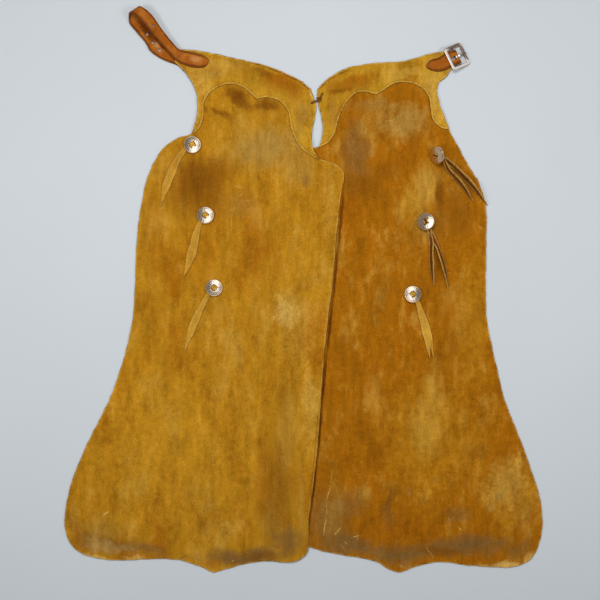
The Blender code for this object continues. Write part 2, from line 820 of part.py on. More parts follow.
def staple_path():
    """The tie's way through both slots, as places along the thread and heights in the concho's frame."""
    at, turn, low = CONCHO["slot_offset"], THREAD["turn_radius"], THREAD["below_slot"]
    high = CONCHO["height"] + CONCHO["metal"] + GAP + THONG_LEATHER / 2
    path = [(THREAD["root"], low), (-at + turn, low)]
    for step in range(1, 4):
        angle = math.radians(30 * step)
        path.append((-at + turn - turn * math.sin(angle), low + turn - turn * math.cos(angle)))
    for step in range(4):
        angle = math.radians(30 * step)
        path.append((-at + turn - turn * math.cos(angle), high - turn + turn * math.sin(angle)))
    path.append((0.0, high))
    for step in range(4):
        angle = math.radians(90 - 30 * step)
        path.append((at - turn + turn * math.cos(angle), high - turn + turn * math.sin(angle)))
    for step in range(4):
        angle = math.radians(30 * step)
        path.append((at + turn - turn * math.cos(angle), low + turn - turn * math.sin(angle)))
    return path


def tail_rows(tail, trees, lead=()):
    """Both edges of a tail, from its lead-in points to its tip, lying on the leg."""
    root_x, root_y, tip_x, tip_y, bow, half_width, roll = tail
    root, tip = np.array([root_x, root_y], float), np.array([tip_x, tip_y], float)
    run = tip - root
    length = np.linalg.norm(run)
    ahead = run / length
    left = np.array([-ahead[1], ahead[0]])
    lean = math.radians(roll)
    count = max(6, round(length / TAIL_CELL))
    first, second = list(lead[0]) if lead else [], list(lead[1]) if lead else []
    for k in range(0 if not lead else 1, count + 1):
        share = k / count
        middle = root + run * share + left * bow * math.sin(math.pi * share)
        width = half_width * (0.5 + 0.5 * math.sin(math.pi * min(share / 1.3, 0.5)))
        width *= 1 if share < 0.6 else math.sqrt(max(0.02, 1 - ((share - 0.6) / 0.4) ** 2 * 0.96))
        rise = smooth_share(share * 4) * math.sin(lean)
        spread = math.sqrt(1 - rise * rise)
        floor = top_under(middle[0], middle[1], trees, half_width)
        height = floor + GAP + THONG_LEATHER / 2 + width * abs(rise)
        edge = left * width * spread
        first.append((middle[0] + edge[0], middle[1] + edge[1], height + width * rise))
        second.append((middle[0] - edge[0], middle[1] - edge[1], height - width * rise))
    return first, second


def smooth_share(share):
    share = min(max(share, 0.0), 1.0)
    return share * share * (3 - 2 * share)


def tie(name, matrix, trees):
    """A suede tie: through the concho's slots, out under its rim and down the leg in one or two tails."""
    place = matrix @ Matrix.Rotation(thread_angle(name), 4, "Z")
    half = CONCHO["slot_length"] / 2 - THREAD["edge_room"]
    first, second = [], []
    for along, height in staple_path():
        for edge, sign in ((first, 1), (second, -1)):
            edge.append(place @ (Vector((along, sign * half, height)) * MM) / MM)
    main = TAILS[name][0]
    rim_ahead = CONCHO["radius"] - THREAD["rim_inset"]
    last_ahead = CONCHO["slot_offset"] + THREAD["turn_radius"]
    last = place @ (Vector((last_ahead, 0, THREAD["below_slot"])) * MM) / MM
    rim = place @ (Vector((rim_ahead, 0, -GAP - THONG_LEATHER / 2)) * MM) / MM
    sideways = (place.to_3x3() @ Vector((0, 1, 0))).normalized()
    for share in (0.35, 0.7, 1.0):
        middle = last.lerp(rim, share)
        first.append(middle + sideways * half)
        second.append(middle - sideways * half)
    edges = tail_rows(main, trees, (first, second))
    made = strip("tie_" + name, edges[0], edges[1], THONG_LEATHER, "tie_suede")
    for number, tail in enumerate(TAILS[name][1:]):
        edges = tail_rows(tail, trees, (first[-3:], second[-3:]))
        shifted = [[(x, y, z + TAIL_STEP) for x, y, z in edge] for edge in edges]
        other = strip("tail_" + name, shifted[0], shifted[1], THONG_LEATHER, "tie_suede")
        bake(other)
        PARTS.objects.unlink(other)
        CUTTERS.objects.link(other)
        other.name = f"tail_{name}_{number + 2}"
        other.hide_render = True
        other.display_type = "WIRE"
        combine(made, other, "UNION")
    return made


# Centre lace

def lace_hole(yoke, name, place):
    """A hole for the lace through a yoke."""
    hole = rod(name, (place[0], place[1], 5), LACE["hole_radius"], 20.0, Matrix.Identity(3), HOLE_SIDES)
    combine(yoke, hole, "DIFFERENCE")


def lace_path(left_yoke, right_yoke):
    """Up through the left yoke, across to the knot, and down into the right yoke."""
    left_x, left_y = LACE["left_hole"]
    right_x, right_y = LACE["right_hole"]
    knot_x, knot_y = LACE["knot_place"]
    left_top = top_under(left_x, left_y, [solid_tree(left_yoke)], LACE["reach"])
    right_top = top_under(knot_x, knot_y, [solid_tree(right_yoke)], LACE["reach"])
    above = GAP + LACE["radius"] + 0.2
    low = LACE["inset"] - PANEL_LEATHER
    left_above, right_above = left_top + above, right_top + above
    return [
        (left_x, left_y, left_top + low),
        (left_x, left_y, left_top),
        (left_x + 0.8, left_y + 0.5, left_above - 0.4),
        (left_x + 3.5, left_y + 2.0, left_above),
        ((left_x + knot_x) / 2, (left_y + knot_y) / 2, max(left_above, right_above)),
        (knot_x, knot_y, right_above),
        (knot_x + (right_x - knot_x) * 0.45, knot_y + (right_y - knot_y) * 0.5, right_above),
        (right_x - 0.8, right_y - 1.6, right_above - 0.4),
        (right_x, right_y, right_top),
        (right_x, right_y, right_top + low),
    ]


def centre_lace(left_yoke, right_yoke):
    """A thong through one hole in each yoke, with a knot on the right one."""
    path = smooth_run(lace_path(left_yoke, right_yoke), LACE_STEP)
    lace_hole(left_yoke, "lace_hole_left", LACE["left_hole"])
    lace_hole(right_yoke, "lace_hole_right", LACE["right_hole"])
    curve = bpy.data.curves.new("centre_lace", "CURVE")
    curve.dimensions = "3D"
    curve.bevel_depth = LACE["radius"] * MM
    curve.bevel_resolution = 2
    curve.use_fill_caps = True
    spline = curve.splines.new("POLY")
    spline.points.add(len(path) - 1)
    for point, place in zip(spline.points, path):
        point.co = (*(Vector(place) * MM), 1)
    drawn = bpy.data.objects.new("lace_curve", curve)
    bpy.context.scene.collection.objects.link(drawn)
    mesh = bpy.data.meshes.new_from_object(drawn.evaluated_get(bpy.context.evaluated_depsgraph_get()))
    bpy.data.objects.remove(drawn)
    shape = bmesh.new()
    shape.from_mesh(mesh)
    bmesh.ops.remove_doubles(shape, verts=shape.verts, dist=0.00001)
    shape.to_mesh(mesh)
    shape.free()
    made = add_object("centre_lace", mesh, "tie_suede")
    shape = bmesh.new()
    bmesh.ops.create_uvsphere(shape, u_segments=14, v_segments=8, radius=LACE["knot_radius"] * MM)
    squash = LACE["knot_height"] / 2 / LACE["knot_radius"]
    bmesh.ops.scale(shape, vec=Vector((1, 1, squash)), verts=shape.verts)
    knot_mesh = bpy.data.meshes.new("lace_knot")
    shape.to_mesh(knot_mesh)
    shape.free()
    knot = add_cutter("lace_knot", knot_mesh)
    knot_x, knot_y = LACE["knot_place"]
    right_top = top_under(knot_x, knot_y, [solid_tree(right_yoke)], LACE["reach"])
    knot.location = Vector((knot_x, knot_y, right_top + GAP + LACE["knot_height"] / 2)) * MM
    combine(made, knot, "UNION")
    return made


def settle_origin():
    """Moves everything so that the origin is under the middle of the whole garment."""
    depsgraph = bpy.context.evaluated_depsgraph_get()
    corners = []
    for item in PARTS.objects:
        if item.type == "MESH":
            mesh = item.evaluated_get(depsgraph).to_mesh()
            corners += [item.matrix_world @ vert.co for vert in mesh.vertices]
    places = np.array(corners)
    low, high = places.min(axis=0), places.max(axis=0)
    ROOT.location = (-(low[0] + high[0]) / 2, -(low[1] + high[1]) / 2, -low[2])


def build():
    left_leg_outline, right_leg_outline = leg_outline("left"), leg_outline("right")
    under_right = [(chape_outline(), CHAPE["leather"], CHAPE_FLAT, CHAPE_RAMP)]
    tuck_top = BILLET["rows"][-1][-1] + STRAP_LEATHER / 2
    under_left = [(np.array(BILLET["tuck_outline"], float), tuck_top, STRAP_FLAT, STRAP_RAMP)]
    on_right_leg = (right_leg_outline, PANEL_LEATHER, LEG_FLAT, LEG_RAMP)
    right_leg = panel("right_leg", right_leg_outline, LEG_CELL, [], [], "right_suede")
    left_leg = panel("left_leg", left_leg_outline, LEG_CELL, [on_right_leg], [right_leg], "left_suede")
    right_yoke = panel(
        "right_yoke", yoke_outline("right"), YOKE_CELL,
        [(right_leg_outline, PANEL_LEATHER, YOKE_FLAT, YOKE_RAMP)] + under_right, [right_leg], "yoke_suede",
    )
    left_yoke = panel(
        "left_yoke", yoke_outline("left"), YOKE_CELL,
        [(left_leg_outline, PANEL_LEATHER, YOKE_FLAT, YOKE_RAMP)] + under_left,
        [left_leg, right_leg], "yoke_suede",
    )
    billet_strap()
    chape()
    buckle_frame()
    buckle_tongue()
    centre_lace(left_yoke, right_yoke)
    for name in TIE_NAMES:
        leg = solid_tree(left_leg if name.startswith("left") else right_leg)
        top = top_under(TIES[name][0], TIES[name][1], [leg], CONCHO["radius"])
        matrix = concho_matrix(name, top)
        concho(name, matrix)
        tie(name, matrix, [leg])
    settle_origin()


clear_scene()
PARTS = new_collection("leather_chaps")
CUTTERS = new_collection("cutters")
ROOT = bpy.data.objects.new("garment_root", None)
PARTS.objects.link(ROOT)
build()
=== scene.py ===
import math

import bmesh
import bpy
import numpy as np
from mathutils import Matrix, Vector
from mathutils.bvhtree import BVHTree


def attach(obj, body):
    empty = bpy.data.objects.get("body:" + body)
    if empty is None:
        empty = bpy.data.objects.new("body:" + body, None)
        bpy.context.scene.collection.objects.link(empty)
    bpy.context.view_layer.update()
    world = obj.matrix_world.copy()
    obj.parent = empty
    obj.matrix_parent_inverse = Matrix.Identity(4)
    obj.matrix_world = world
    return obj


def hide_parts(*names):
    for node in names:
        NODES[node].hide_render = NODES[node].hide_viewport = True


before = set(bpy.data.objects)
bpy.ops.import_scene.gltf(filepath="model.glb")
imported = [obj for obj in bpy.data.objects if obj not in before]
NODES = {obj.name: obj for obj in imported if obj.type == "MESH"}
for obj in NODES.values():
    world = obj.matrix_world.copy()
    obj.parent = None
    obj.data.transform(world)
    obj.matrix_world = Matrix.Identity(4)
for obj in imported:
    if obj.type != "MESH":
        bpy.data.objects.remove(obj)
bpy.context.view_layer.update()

# Driving sizes in millimetres, the same as the solids have. Objects are in metres.
MM = 0.001
GAP = 0.3
PANEL_LEATHER = 2.2
STRAP_LEATHER = 3.0
THONG_LEATHER = 1.8
OUTLINE_STEP = 5.0
YOKE_CELL = 3.5
ORIGIN = (1.0, -0.657, 0.0)

# Legs: one row for each height, with the edge at the side of the thigh and the edge between the legs
LEG_ROWS = {
    "left": {
        "columns": ("y", "outer_x", "inner_x"),
        "rows": (
            (205, -291, 73),
            (168, -299, 67),
            (94, -309, 59),
            (20, -312, 53),
            (-54, -317, 44),
            (-128, -334, 36),
            (-202, -360, 31),
            (-276, -397, 26),
            (-350, -428, 18),
            (-387, -438, 13),
            (-424, -443, 8),
        ),
    },
    "right": {
        "columns": ("y", "outer_x", "inner_x"),
        "rows": (
            (205, 321, -25),
            (168, 334, -23),
            (94, 337, -20),
            (20, 336, -17),
            (-54, 338, -14),
            (-128, 353, -12),
            (-202, 371, -10),
            (-276, 400, -8),
            (-350, 426, -5),
            (-387, 437, -3),
            (-424, 441, -2),
        ),
    },
}

# Hems: how far along from the outer edge, and how far below the last row; "point" is the centre point
HEM_ROWS = {
    "left": {
        "corner_side": (
            (0.0, 0), (0.003, 17), (0.017, 38), (0.060, 59), (0.134, 71), (0.230, 74.5),
            (0.397, 72), (0.480, 75), (0.545, 84), (0.611, 98),
        ),
        "point_side": (
            (0.611, 98), (0.669, 90), (0.763, 79.5), (0.855, 76), (0.902, 78.5), (0.972, 70.5),
            (0.997, 57), (1.0, 44), (1.0, 0),
        ),
    },
    "right": {
        "corner_side": (
            (0.0, 0), (0.003, 22), (0.012, 41), (0.046, 71), (0.108, 86), (0.203, 87),
            (0.303, 84.5), (0.420, 78), (0.520, 85), (0.596, 98),
        ),
        "point_side": (
            (0.596, 98), (0.637, 92), (0.680, 80), (0.730, 73), (0.800, 67.5), (0.883, 61),
            (0.947, 54), (0.990, 45), (1.0, 0),
        ),
    },
}

# The cut of each leg at the top: over the hip, under the yoke and round the corner between the legs
LEG_TOPS = {
    "left": {
        "hip": ((-291, 205), (-276, 240), (-255, 268), (-233, 282), (-209, 289)),
        "under_yoke": (
            (-209, 289), (-198, 305), (-193, 330), (-187, 357), (-170, 378), (-150, 390),
            (-130, 394), (-110, 389), (-87, 371), (-63, 372), (-39, 364), (-20, 344),
            (-11, 312), (0, 284), (27, 243),
        ),
        "corner": ((27, 243), (44, 239), (63, 231), (73, 219), (73, 205)),
    },
    "right": {
        "hip": ((321, 205), (303, 233), (286, 264), (268, 298)),
        "under_yoke": (
            (268, 298), (256, 310), (248, 328), (243, 354), (229, 378), (204, 394),
            (178, 398), (152, 389), (134, 377), (113, 380), (90, 377), (66, 354),
            (53, 328), (44, 299), (29, 266),
        ),
        "corner": ((29, 266), (7, 260), (-11, 249), (-22, 231), (-25, 205)),
    },
}

# Yokes: each run is smooth, and the runs meet at corners
YOKE_RUNS = {
    "left": {
        "waist": (
            (12, 373), (-4, 386), (-30, 400), (-56, 411), (-94, 422), (-133, 430),
            (-185, 441), (-211, 444), (-233, 445),
        ),
        "belt_end": ((-233, 445), (-239, 422)),
        "side": ((-239, 422), (-226, 411), (-211, 392), (-201, 372), (-196, 342), (-201, 311), (-208, 289)),
        "outer_lobe": (
            (-208, 289), (-195, 299), (-186, 320), (-185, 347), (-175, 365), (-154, 378),
            (-133, 382), (-110, 374), (-88, 354),
        ),
        "inner_lobe": (
            (-88, 354), (-68, 357), (-48, 352), (-31, 334), (-25, 306), (-14, 276), (1, 257), (27, 242),
        ),
        "front": (
            (27, 242), (17, 261), (14, 275), (15, 297), (20, 322), (23, 338), (19, 352), (15, 364), (12, 373),
        ),
    },
    "right": {
        "waist": (
            (25, 371), (36, 385), (54, 398), (79, 411), (104, 417), (141, 421), (178, 423),
            (202, 428), (227, 436), (259, 442),
        ),
        "belt_end": ((259, 442), (273, 411)),
        "side": ((273, 411), (264, 397), (250, 385), (245, 371), (249, 351), (260, 319), (268, 298)),
        "outer_lobe": (
            (268, 298), (254, 301), (239, 314), (234, 337), (230, 359), (215, 376), (190, 385),
            (165, 382), (148, 371), (134, 362),
        ),
        "inner_lobe": (
            (134, 362), (118, 367), (99, 366), (78, 347), (65, 322), (57, 293), (46, 275), (29, 265),
        ),
        "front": ((29, 265), (33, 282), (35, 297), (32, 324), (27, 344), (24, 357), (25, 371)),
    },
}

# Straps, conchos and ties: the same places as the solids have
BILLET = {
    "columns": ("right_x", "right_y", "right_z", "left_x", "left_y", "left_z"),
    "rows": (
        (-176, 425, 7.3, -177, 419, 7.3),
        (-180, 430, 7.3, -181, 414, 7.3),
        (-195, 437, 7.3, -197, 411, 7.3),
        (-218, 442, 7.4, -222, 417, 7.4),
        (-228, 444, 8.0, -234, 423, 8.6),
        (-243, 458, 9.5, -250, 439, 12.0),
        (-263, 483, 12.0, -271, 462, 18.0),
        (-283, 510, 16.0, -293, 489, 23.0),
        (-299, 521, 19.5, -312, 506, 26.0),
        (-303, 522, 15.0, -320, 509, 20.0),
        (-302, 518, 8.5, -323, 503, 9.0),
        (-299, 508, 5.2, -323, 496, 3.8),
        (-284, 488, 4.6, -309, 477, 2.3),
        (-269, 463, 5.0, -291, 455, 2.0),
        (-262, 453, 4.5, -286, 445, 2.0),
        (-246, 444, 2.4, -267, 430, 1.8),
        (-227, 435, 1.65, -241, 419, 1.62),
        (-208, 424, 1.55, -216, 410, 1.55),
    ),
    "hole_rows": (6.5, 12.4, 13.1, 14.4),
    "hole_diameter": 5.5,
    "hole_depth": 9.0,
    "tuck_outline": ((-248, 452), (-208, 428), (-208, 408), (-248, 412)),
}

CHAPE = {
    "columns": ("upper_x", "upper_y", "lower_x", "lower_y", "z"),
    "on_yoke": (
        (225, 416, 225, 413, 6.1),
        (232, 424, 231, 408, 6.1),
        (239, 427.5, 239, 405, 6.1),
        (248, 429.5, 249, 404, 6.1),
        (256, 435, 259, 406, 6.1),
        (266, 440.5, 273, 413, 6.5),
    ),
    "leather": 2.2,
    "half_width": 13.0,
    "narrowing": 0.03,
    "fold_steps": 8,
    "under_yoke": (12.0, 24.0, 36.0),
    "slot_width": 6.0,
    "slot_back": 12.0,
    "slot_ahead": 6.0,
    "slot_top": 12.0,
}

CONCHO = {
    "radius": 16.5,
    "height": 4.5,
    "metal": 1.2,
    "slot_offset": 4.0,
    "slot_width": 3.0,
    "slot_length": 10.5,
    "slot_depth": 14.0,
    "segments": 28,
    "dome_radii": (5.0, 9.5, 13.0),
    "rim_bevel": 0.4,
}
THREAD = {"turn_radius": 1.5, "below_slot": 1.1, "edge_room": 1.3, "rim_inset": 2.0, "root": 1.0}
TIES = {
    "columns": ("x", "y", "thread_deg", "tilt_deg", "tilt_towards_deg"),
    "left_1": (-206, 269, 206, 4.0, 26),
    "left_2": (-182, 139, 232, 4.0, 52),
    "left_3": (-166, 5, 228, 4.0, 48),
    "right_1": (245, 249, -20, 50.0, 196),
    "right_2": (225, 127, -70, 14.0, 150),
    "right_3": (201, -7, -58, 6.0, 122),
}
TIE_NAMES = tuple(name for name in TIES if name != "columns")

# Tails of the ties: where each ends, how it bows, how wide it is and how far it stands on edge
TAILS = {
    "columns": ("root_x", "root_y", "tip_x", "tip_y", "bow", "half_width", "roll_deg"),
    "left_1": ((-226, 256, -265, 156, -4, 7.4, 0),),
    "left_2": ((-197, 118, -222, 26, 3, 8.0, 0),),
    "left_3": ((-182, -16, -220, -110, -3, 7.0, 0),),
    "right_1": ((262, 242, 339, 158, 3, 7.0, 66), (256, 232, 313, 164, 3, 6.5, 74)),
    "right_2": ((236, 100, 240, 9, -3, 6.5, 72), (239, 98, 266, 6, 3, 6.5, -68)),
    "right_3": ((211, -26, 232, -124, 3, 6.5, 0), (213, -27, 239, -122, 3, 5.0, 0)),
}
TAIL_STEP = 0.25

BAR = {"x": 282.0, "y": 431.5, "z": 4.1, "radius": 1.6, "heading_deg": 25.5}

# The photograph's scale: millimetres for each picture point, and the point under the tables' origin
PHOTO = {"scale": 1.85, "across": 304.0, "down": 290.6}


def spot(across, down):
    """A place on the garment, in the tables' millimetres, from its place in the picture."""
    return ((across - PHOTO["across"]) * PHOTO["scale"], (PHOTO["down"] - down) * PHOTO["scale"])


# Creases, placed by picture points: soft ridges above zero and troughs below it, in millimetres
CREASES = {
    "columns": ("across_1", "down_1", "across_2", "down_2", "bow", "half_width", "height"),
    "left_leg": (
        (211, 102, 252, 122, -5, 6, 1.5),
        (207, 106, 240, 125, -4, 6, -1.0),
        (199, 131, 215, 116, 2, 6, 1.2),
        (202, 103, 210, 113, 0, 6, -0.9),
        (226, 100, 262, 104, 6, 16, -0.9),
        (255, 118, 288, 122, 4, 12, 0.8),
        (303, 170, 310, 196, 3, 9, -0.7),
        (344, 172, 304, 545, -3, 11, 6.0),
        (258, 410, 262, 548, 5, 15, -0.8),
        (297, 430, 300, 540, -3, 12, 1.0),
        (150, 300, 160, 420, 8, 30, 1.2),
        (200, 345, 232, 440, -8, 26, -0.8),
        (170, 430, 205, 530, 9, 28, 1.0),
        (100, 500, 180, 545, -6, 24, 0.9),
        (235, 225, 300, 262, 7, 24, 0.9),
        (210, 160, 260, 210, -8, 22, -0.8),
        (150, 180, 146, 250, 4, 14, 0.8),
    ),
    "right_leg": (
        (317, 149, 334, 155, 2, 5, 0.8),
        (436, 172, 442, 216, 3, 9, -1.0),
        (428, 150, 430, 215, 3, 12, 1.0),
        (450, 180, 456, 240, -3, 12, 1.1),
        (350, 120, 352, 200, 6, 22, -0.8),
        (372, 150, 398, 205, -6, 20, 0.9),
        (385, 400, 392, 515, 4, 9, -0.9),
        (372, 396, 378, 505, 4, 11, 1.0),
        (404, 420, 408, 520, -4, 16, 0.9),
        (340, 250, 352, 340, 5, 24, -0.7),
        (430, 300, 470, 400, 9, 26, 0.9),
        (350, 540, 470, 552, -6, 16, -0.8),
        (470, 430, 510, 500, 7, 26, 0.9),
        (330, 400, 334, 470, 3, 16, 0.8),
    ),
    "left_yoke": (
        (250, 70, 296, 84, 6, 12, -0.9),
        (205, 72, 246, 78, 3, 14, 0.8),
        (300, 96, 306, 140, 4, 10, 0.8),
        (184, 60, 196, 96, 4, 9, -0.7),
    ),
    "right_yoke": (
        (326, 92, 356, 90, 3, 6, -1.0),
        (326, 88, 358, 84, 3, 6, 0.9),
        (378, 76, 420, 70, -3, 14, 0.8),
        (330, 104, 336, 138, -3, 9, 0.7),
        (428, 80, 438, 118, -3, 10, 0.8),
    ),
}

# Stains and worn places, by picture points: half sizes across and down, and how strong; some dark rows are painted
# shade, as marked
STAINS = {
    "columns": ("across", "down", "half_across", "half_down", "turn_deg", "strength", "tone"),
    "left_leg": (
        (197, 183, 44, 44, 0, 0.92, "dark"), (224, 170, 30, 22, 10, 0.40, "umber"),
        (200, 196, 50, 50, 0, 0.35, "umber"),
        # Under the yoke's outer lobe the dark rows are partly a darker patch of the hide and partly painted shade; the
        # thin dark row at 222, 112 is painted shade in the crease trough below the lobe, and the small dark row at 206,
        # 110 is painted shade in the dip at the yoke's tail
        (236, 96, 22, 15, -15, 0.85, "dark"), (268, 108, 20, 12, -8, 0.75, "dark"),
        (246, 106, 20, 9, -20, 0.55, "dark"), (222, 112, 20, 4, -28, 0.6, "dark"),
        (206, 110, 5, 8, 20, 0.5, "dark"), (190, 132, 14, 8, 40, 0.25, "light"),
        (268, 148, 58, 32, 15, 0.75, "dust"), (300, 170, 28, 30, 0, 0.40, "dust"),
        (240, 205, 30, 20, 20, 0.30, "dust"), (306, 182, 6, 11, 15, 0.45, "grime"),
        (330, 205, 14, 60, 3, 0.25, "light"), (286, 308, 24, 28, 0, 0.65, "light"), (284, 312, 20, 22, 0, 0.55, "pale"),
        (310, 402, 14, 44, 4, 0.60, "light"), (296, 330, 30, 60, 0, 0.25, "light"),
        (170, 180, 14, 34, 20, 0.35, "red"), (154, 230, 16, 70, 4, 0.30, "red"),
        # These dark, umber and red rows darken a long band along the fold low on the leg
        (278, 488, 27, 96, 0, 0.36, "dark"), (276, 500, 28, 90, 0, 0.40, "umber"), (262, 480, 12, 60, 0, 0.35, "red"),
        (288, 540, 24, 22, 0, 0.70, "grime"), (244, 556, 58, 15, 4, 0.95, "grime"), (262, 556, 34, 8, 4, 0.45, "dark"),
        (108, 543, 52, 13, -7, 0.75, "grime"), (146, 549, 34, 10, -4, 0.55, "grime"), (112, 546, 42, 10, -8, 0.55, "ash"),
        (172, 558, 30, 3, -3, 0.55, "grime"), (96, 556, 30, 5, -14, 0.6, "pale"), (100, 530, 40, 20, 0, 0.35, "dust"),
        (132, 558, 24, 3, 0, 0.5, "pale"), (74, 520, 7, 26, 6, 0.35, "dust"),
        (206, 508, 14, 12, 0, 0.35, "dust"), (226, 530, 12, 16, 0, 0.30, "light"),
        (190, 492, 22, 16, 0, 0.22, "grime"), (200, 260, 30, 40, 0, 0.20, "red"),
        (250, 260, 40, 50, 10, 0.20, "red"), (140, 410, 30, 40, 20, 0.3, "amber"),
        (220, 420, 34, 44, 0, 0.18, "red"), (302, 500, 5, 60, 4, 0.35, "dust"),
        (212, 565, 12, 8, 0, 0.40, "red"), (284, 400, 10, 50, 2, 0.25, "dark"),
        (180, 450, 110, 110, 0, 0.45, "amber"),
    ),
    "right_leg": (
        (356, 150, 24, 50, 6, 0.60, "grime"), (362, 186, 34, 20, 0, 0.45, "dark"),
        (385, 172, 22, 16, 0, 0.35, "dark"), (402, 122, 44, 28, 0, 0.66, "dust"),
        (372, 106, 34, 12, 0, 0.45, "dust"),
        # The dark row at 439, 196 is painted shade in the fold of the wing
        (410, 205, 16, 34, 0, 0.30, "amber"), (439, 196, 8, 34, -4, 0.75, "dark"),
        (438, 226, 12, 30, 0, 0.40, "dark"), (462, 215, 20, 26, 0, 0.35, "dark"),
        (380, 452, 11, 66, -4, 0.55, "red"), (391, 500, 8, 34, -4, 0.65, "dark"),
        (380, 380, 30, 50, 0, 0.30, "red"), (476, 450, 20, 14, 0, 0.45, "dark"),
        (435, 478, 8, 6, 0, 0.35, "grime"), (408, 490, 8, 8, 0, 0.40, "grime"),
        (501, 494, 9, 12, 0, 0.60, "grime"), (492, 508, 7, 7, 0, 0.60, "dust"),
        (328, 522, 36, 48, 0, 0.52, "grime"), (352, 505, 26, 22, 0, 0.45, "grime"),
        (388, 515, 12, 22, 0, 0.35, "grime"), (455, 514, 22, 12, 0, 0.45, "grime"),
        (468, 545, 74, 16, 2, 1.0, "grime"), (440, 552, 40, 9, 0, 0.60, "dark"),
        (402, 554, 44, 17, 0, 0.85, "grime"), (352, 545, 46, 18, -10, 0.85, "grime"),
        (520, 548, 24, 10, 25, 0.45, "grime"), (500, 564, 40, 5, 2, 0.65, "pale"),
        (530, 556, 10, 9, 40, 0.50, "pale"), (400, 569, 9, 5, 0, 0.45, "red"),
        (505, 520, 22, 12, 0, 0.35, "amber"),
        (526, 490, 14, 34, -10, 0.40, "amber"), (330, 466, 4, 8, 0, 0.60, "grime"),
        (490, 350, 4, 5, 0, 0.55, "dark"), (460, 330, 24, 60, 0, 0.22, "red"),
        (430, 440, 80, 90, 0, 0.30, "amber"), (474, 320, 26, 110, 0, 0.30, "amber"),
        (508, 482, 30, 42, -8, 0.55, "light"), (330, 516, 22, 34, 0, 0.30, "dust"), (452, 340, 34, 60, 0, 0.18, "umber"), (456, 216, 26, 40, 0, 0.60, "umber"),
    ),
    "left_yoke": (
        (280, 80, 42, 14, -20, 0.75, "red"), (262, 74, 26, 8, -12, 0.45, "dark"),
        (300, 96, 12, 22, 20, 0.30, "red"), (196, 78, 22, 26, 30, 0.45, "light"),
        (214, 66, 40, 10, -8, 0.45, "light"), (214, 76, 20, 10, 0, 0.40, "dust"),
        (300, 130, 10, 20, 0, 0.35, "light"), (197, 118, 6, 22, 0, 0.40, "light"),
        (240, 66, 20, 7, -8, 0.25, "dust"), (270, 84, 50, 16, -18, 0.35, "umber"), (300, 114, 14, 26, 0, 0.55, "dust"), (300, 116, 12, 24, 0, 0.25, "umber"),
    ),
    "right_yoke": (
        # The thin dark row at 340, 92 is painted shade in the wrinkle's trough
        (350, 84, 34, 11, 16, 0.70, "red"), (340, 92, 20, 4, 6, 0.60, "dark"),
        (372, 76, 20, 9, 10, 0.40, "red"), (404, 74, 34, 12, 6, 0.50, "light"), (430, 82, 14, 16, 0, 0.55, "light"), (332, 112, 11, 24, 0, 0.55, "umber"),
        (436, 92, 14, 34, -10, 0.50, "light"), (334, 118, 10, 26, 0, 0.30, "light"),
        (440, 118, 8, 14, -20, 0.30, "light"), (430, 62, 14, 9, 10, 0.35, "light"),
        (388, 92, 14, 6, 0, 0.35, "light"), (350, 88, 44, 16, 10, 0.30, "umber"),
    ),
}

# Dark lines, by picture points: on the right leg, painted shadow cast by the raised inner edge of the left leg; on the
# left leg, painted shade along that edge; on the yokes, darker lines along the waist edges near the middle
PAINTED_SHADOW_AND_DARK_LINES = {
    "columns": ("across_1", "down_1", "across_2", "down_2", "half_width", "strength"),
    "right_leg": (
        (345.2, 176, 337.2, 262, 2.2, 0.85), (338.2, 240, 332.2, 312, 2.2, 0.9),
        (333.2, 294, 326.2, 362, 2.1, 0.9), (327.2, 346, 321.2, 414, 2.2, 0.9),
        (322.2, 398, 316.2, 470, 2.2, 0.9), (317.2, 452, 310.2, 522, 2.1, 0.9),
        (311.2, 506, 305.2, 546, 2.0, 0.8),
    ),
    "left_yoke": (
        (243, 60.6, 270, 68.0, 1.1, 0.8), (264, 66.4, 286, 75.0, 1.1, 0.8), (280, 72.2, 304, 84.0, 1.1, 0.8),
        (300, 82.0, 311, 91.0, 1.1, 0.8),
    ),
    "right_yoke": ((318.6, 90.0, 327, 81.0, 1.1, 0.8), (324, 82.6, 338, 75.0, 1.1, 0.7), (334, 76.2, 352, 69.8, 1.0, 0.6)),
    "left_leg": ((343, 176, 335, 262, 0.8, 0.4), (334, 260, 320, 400, 0.8, 0.4), (320, 395, 308, 520, 0.8, 0.4)),
}
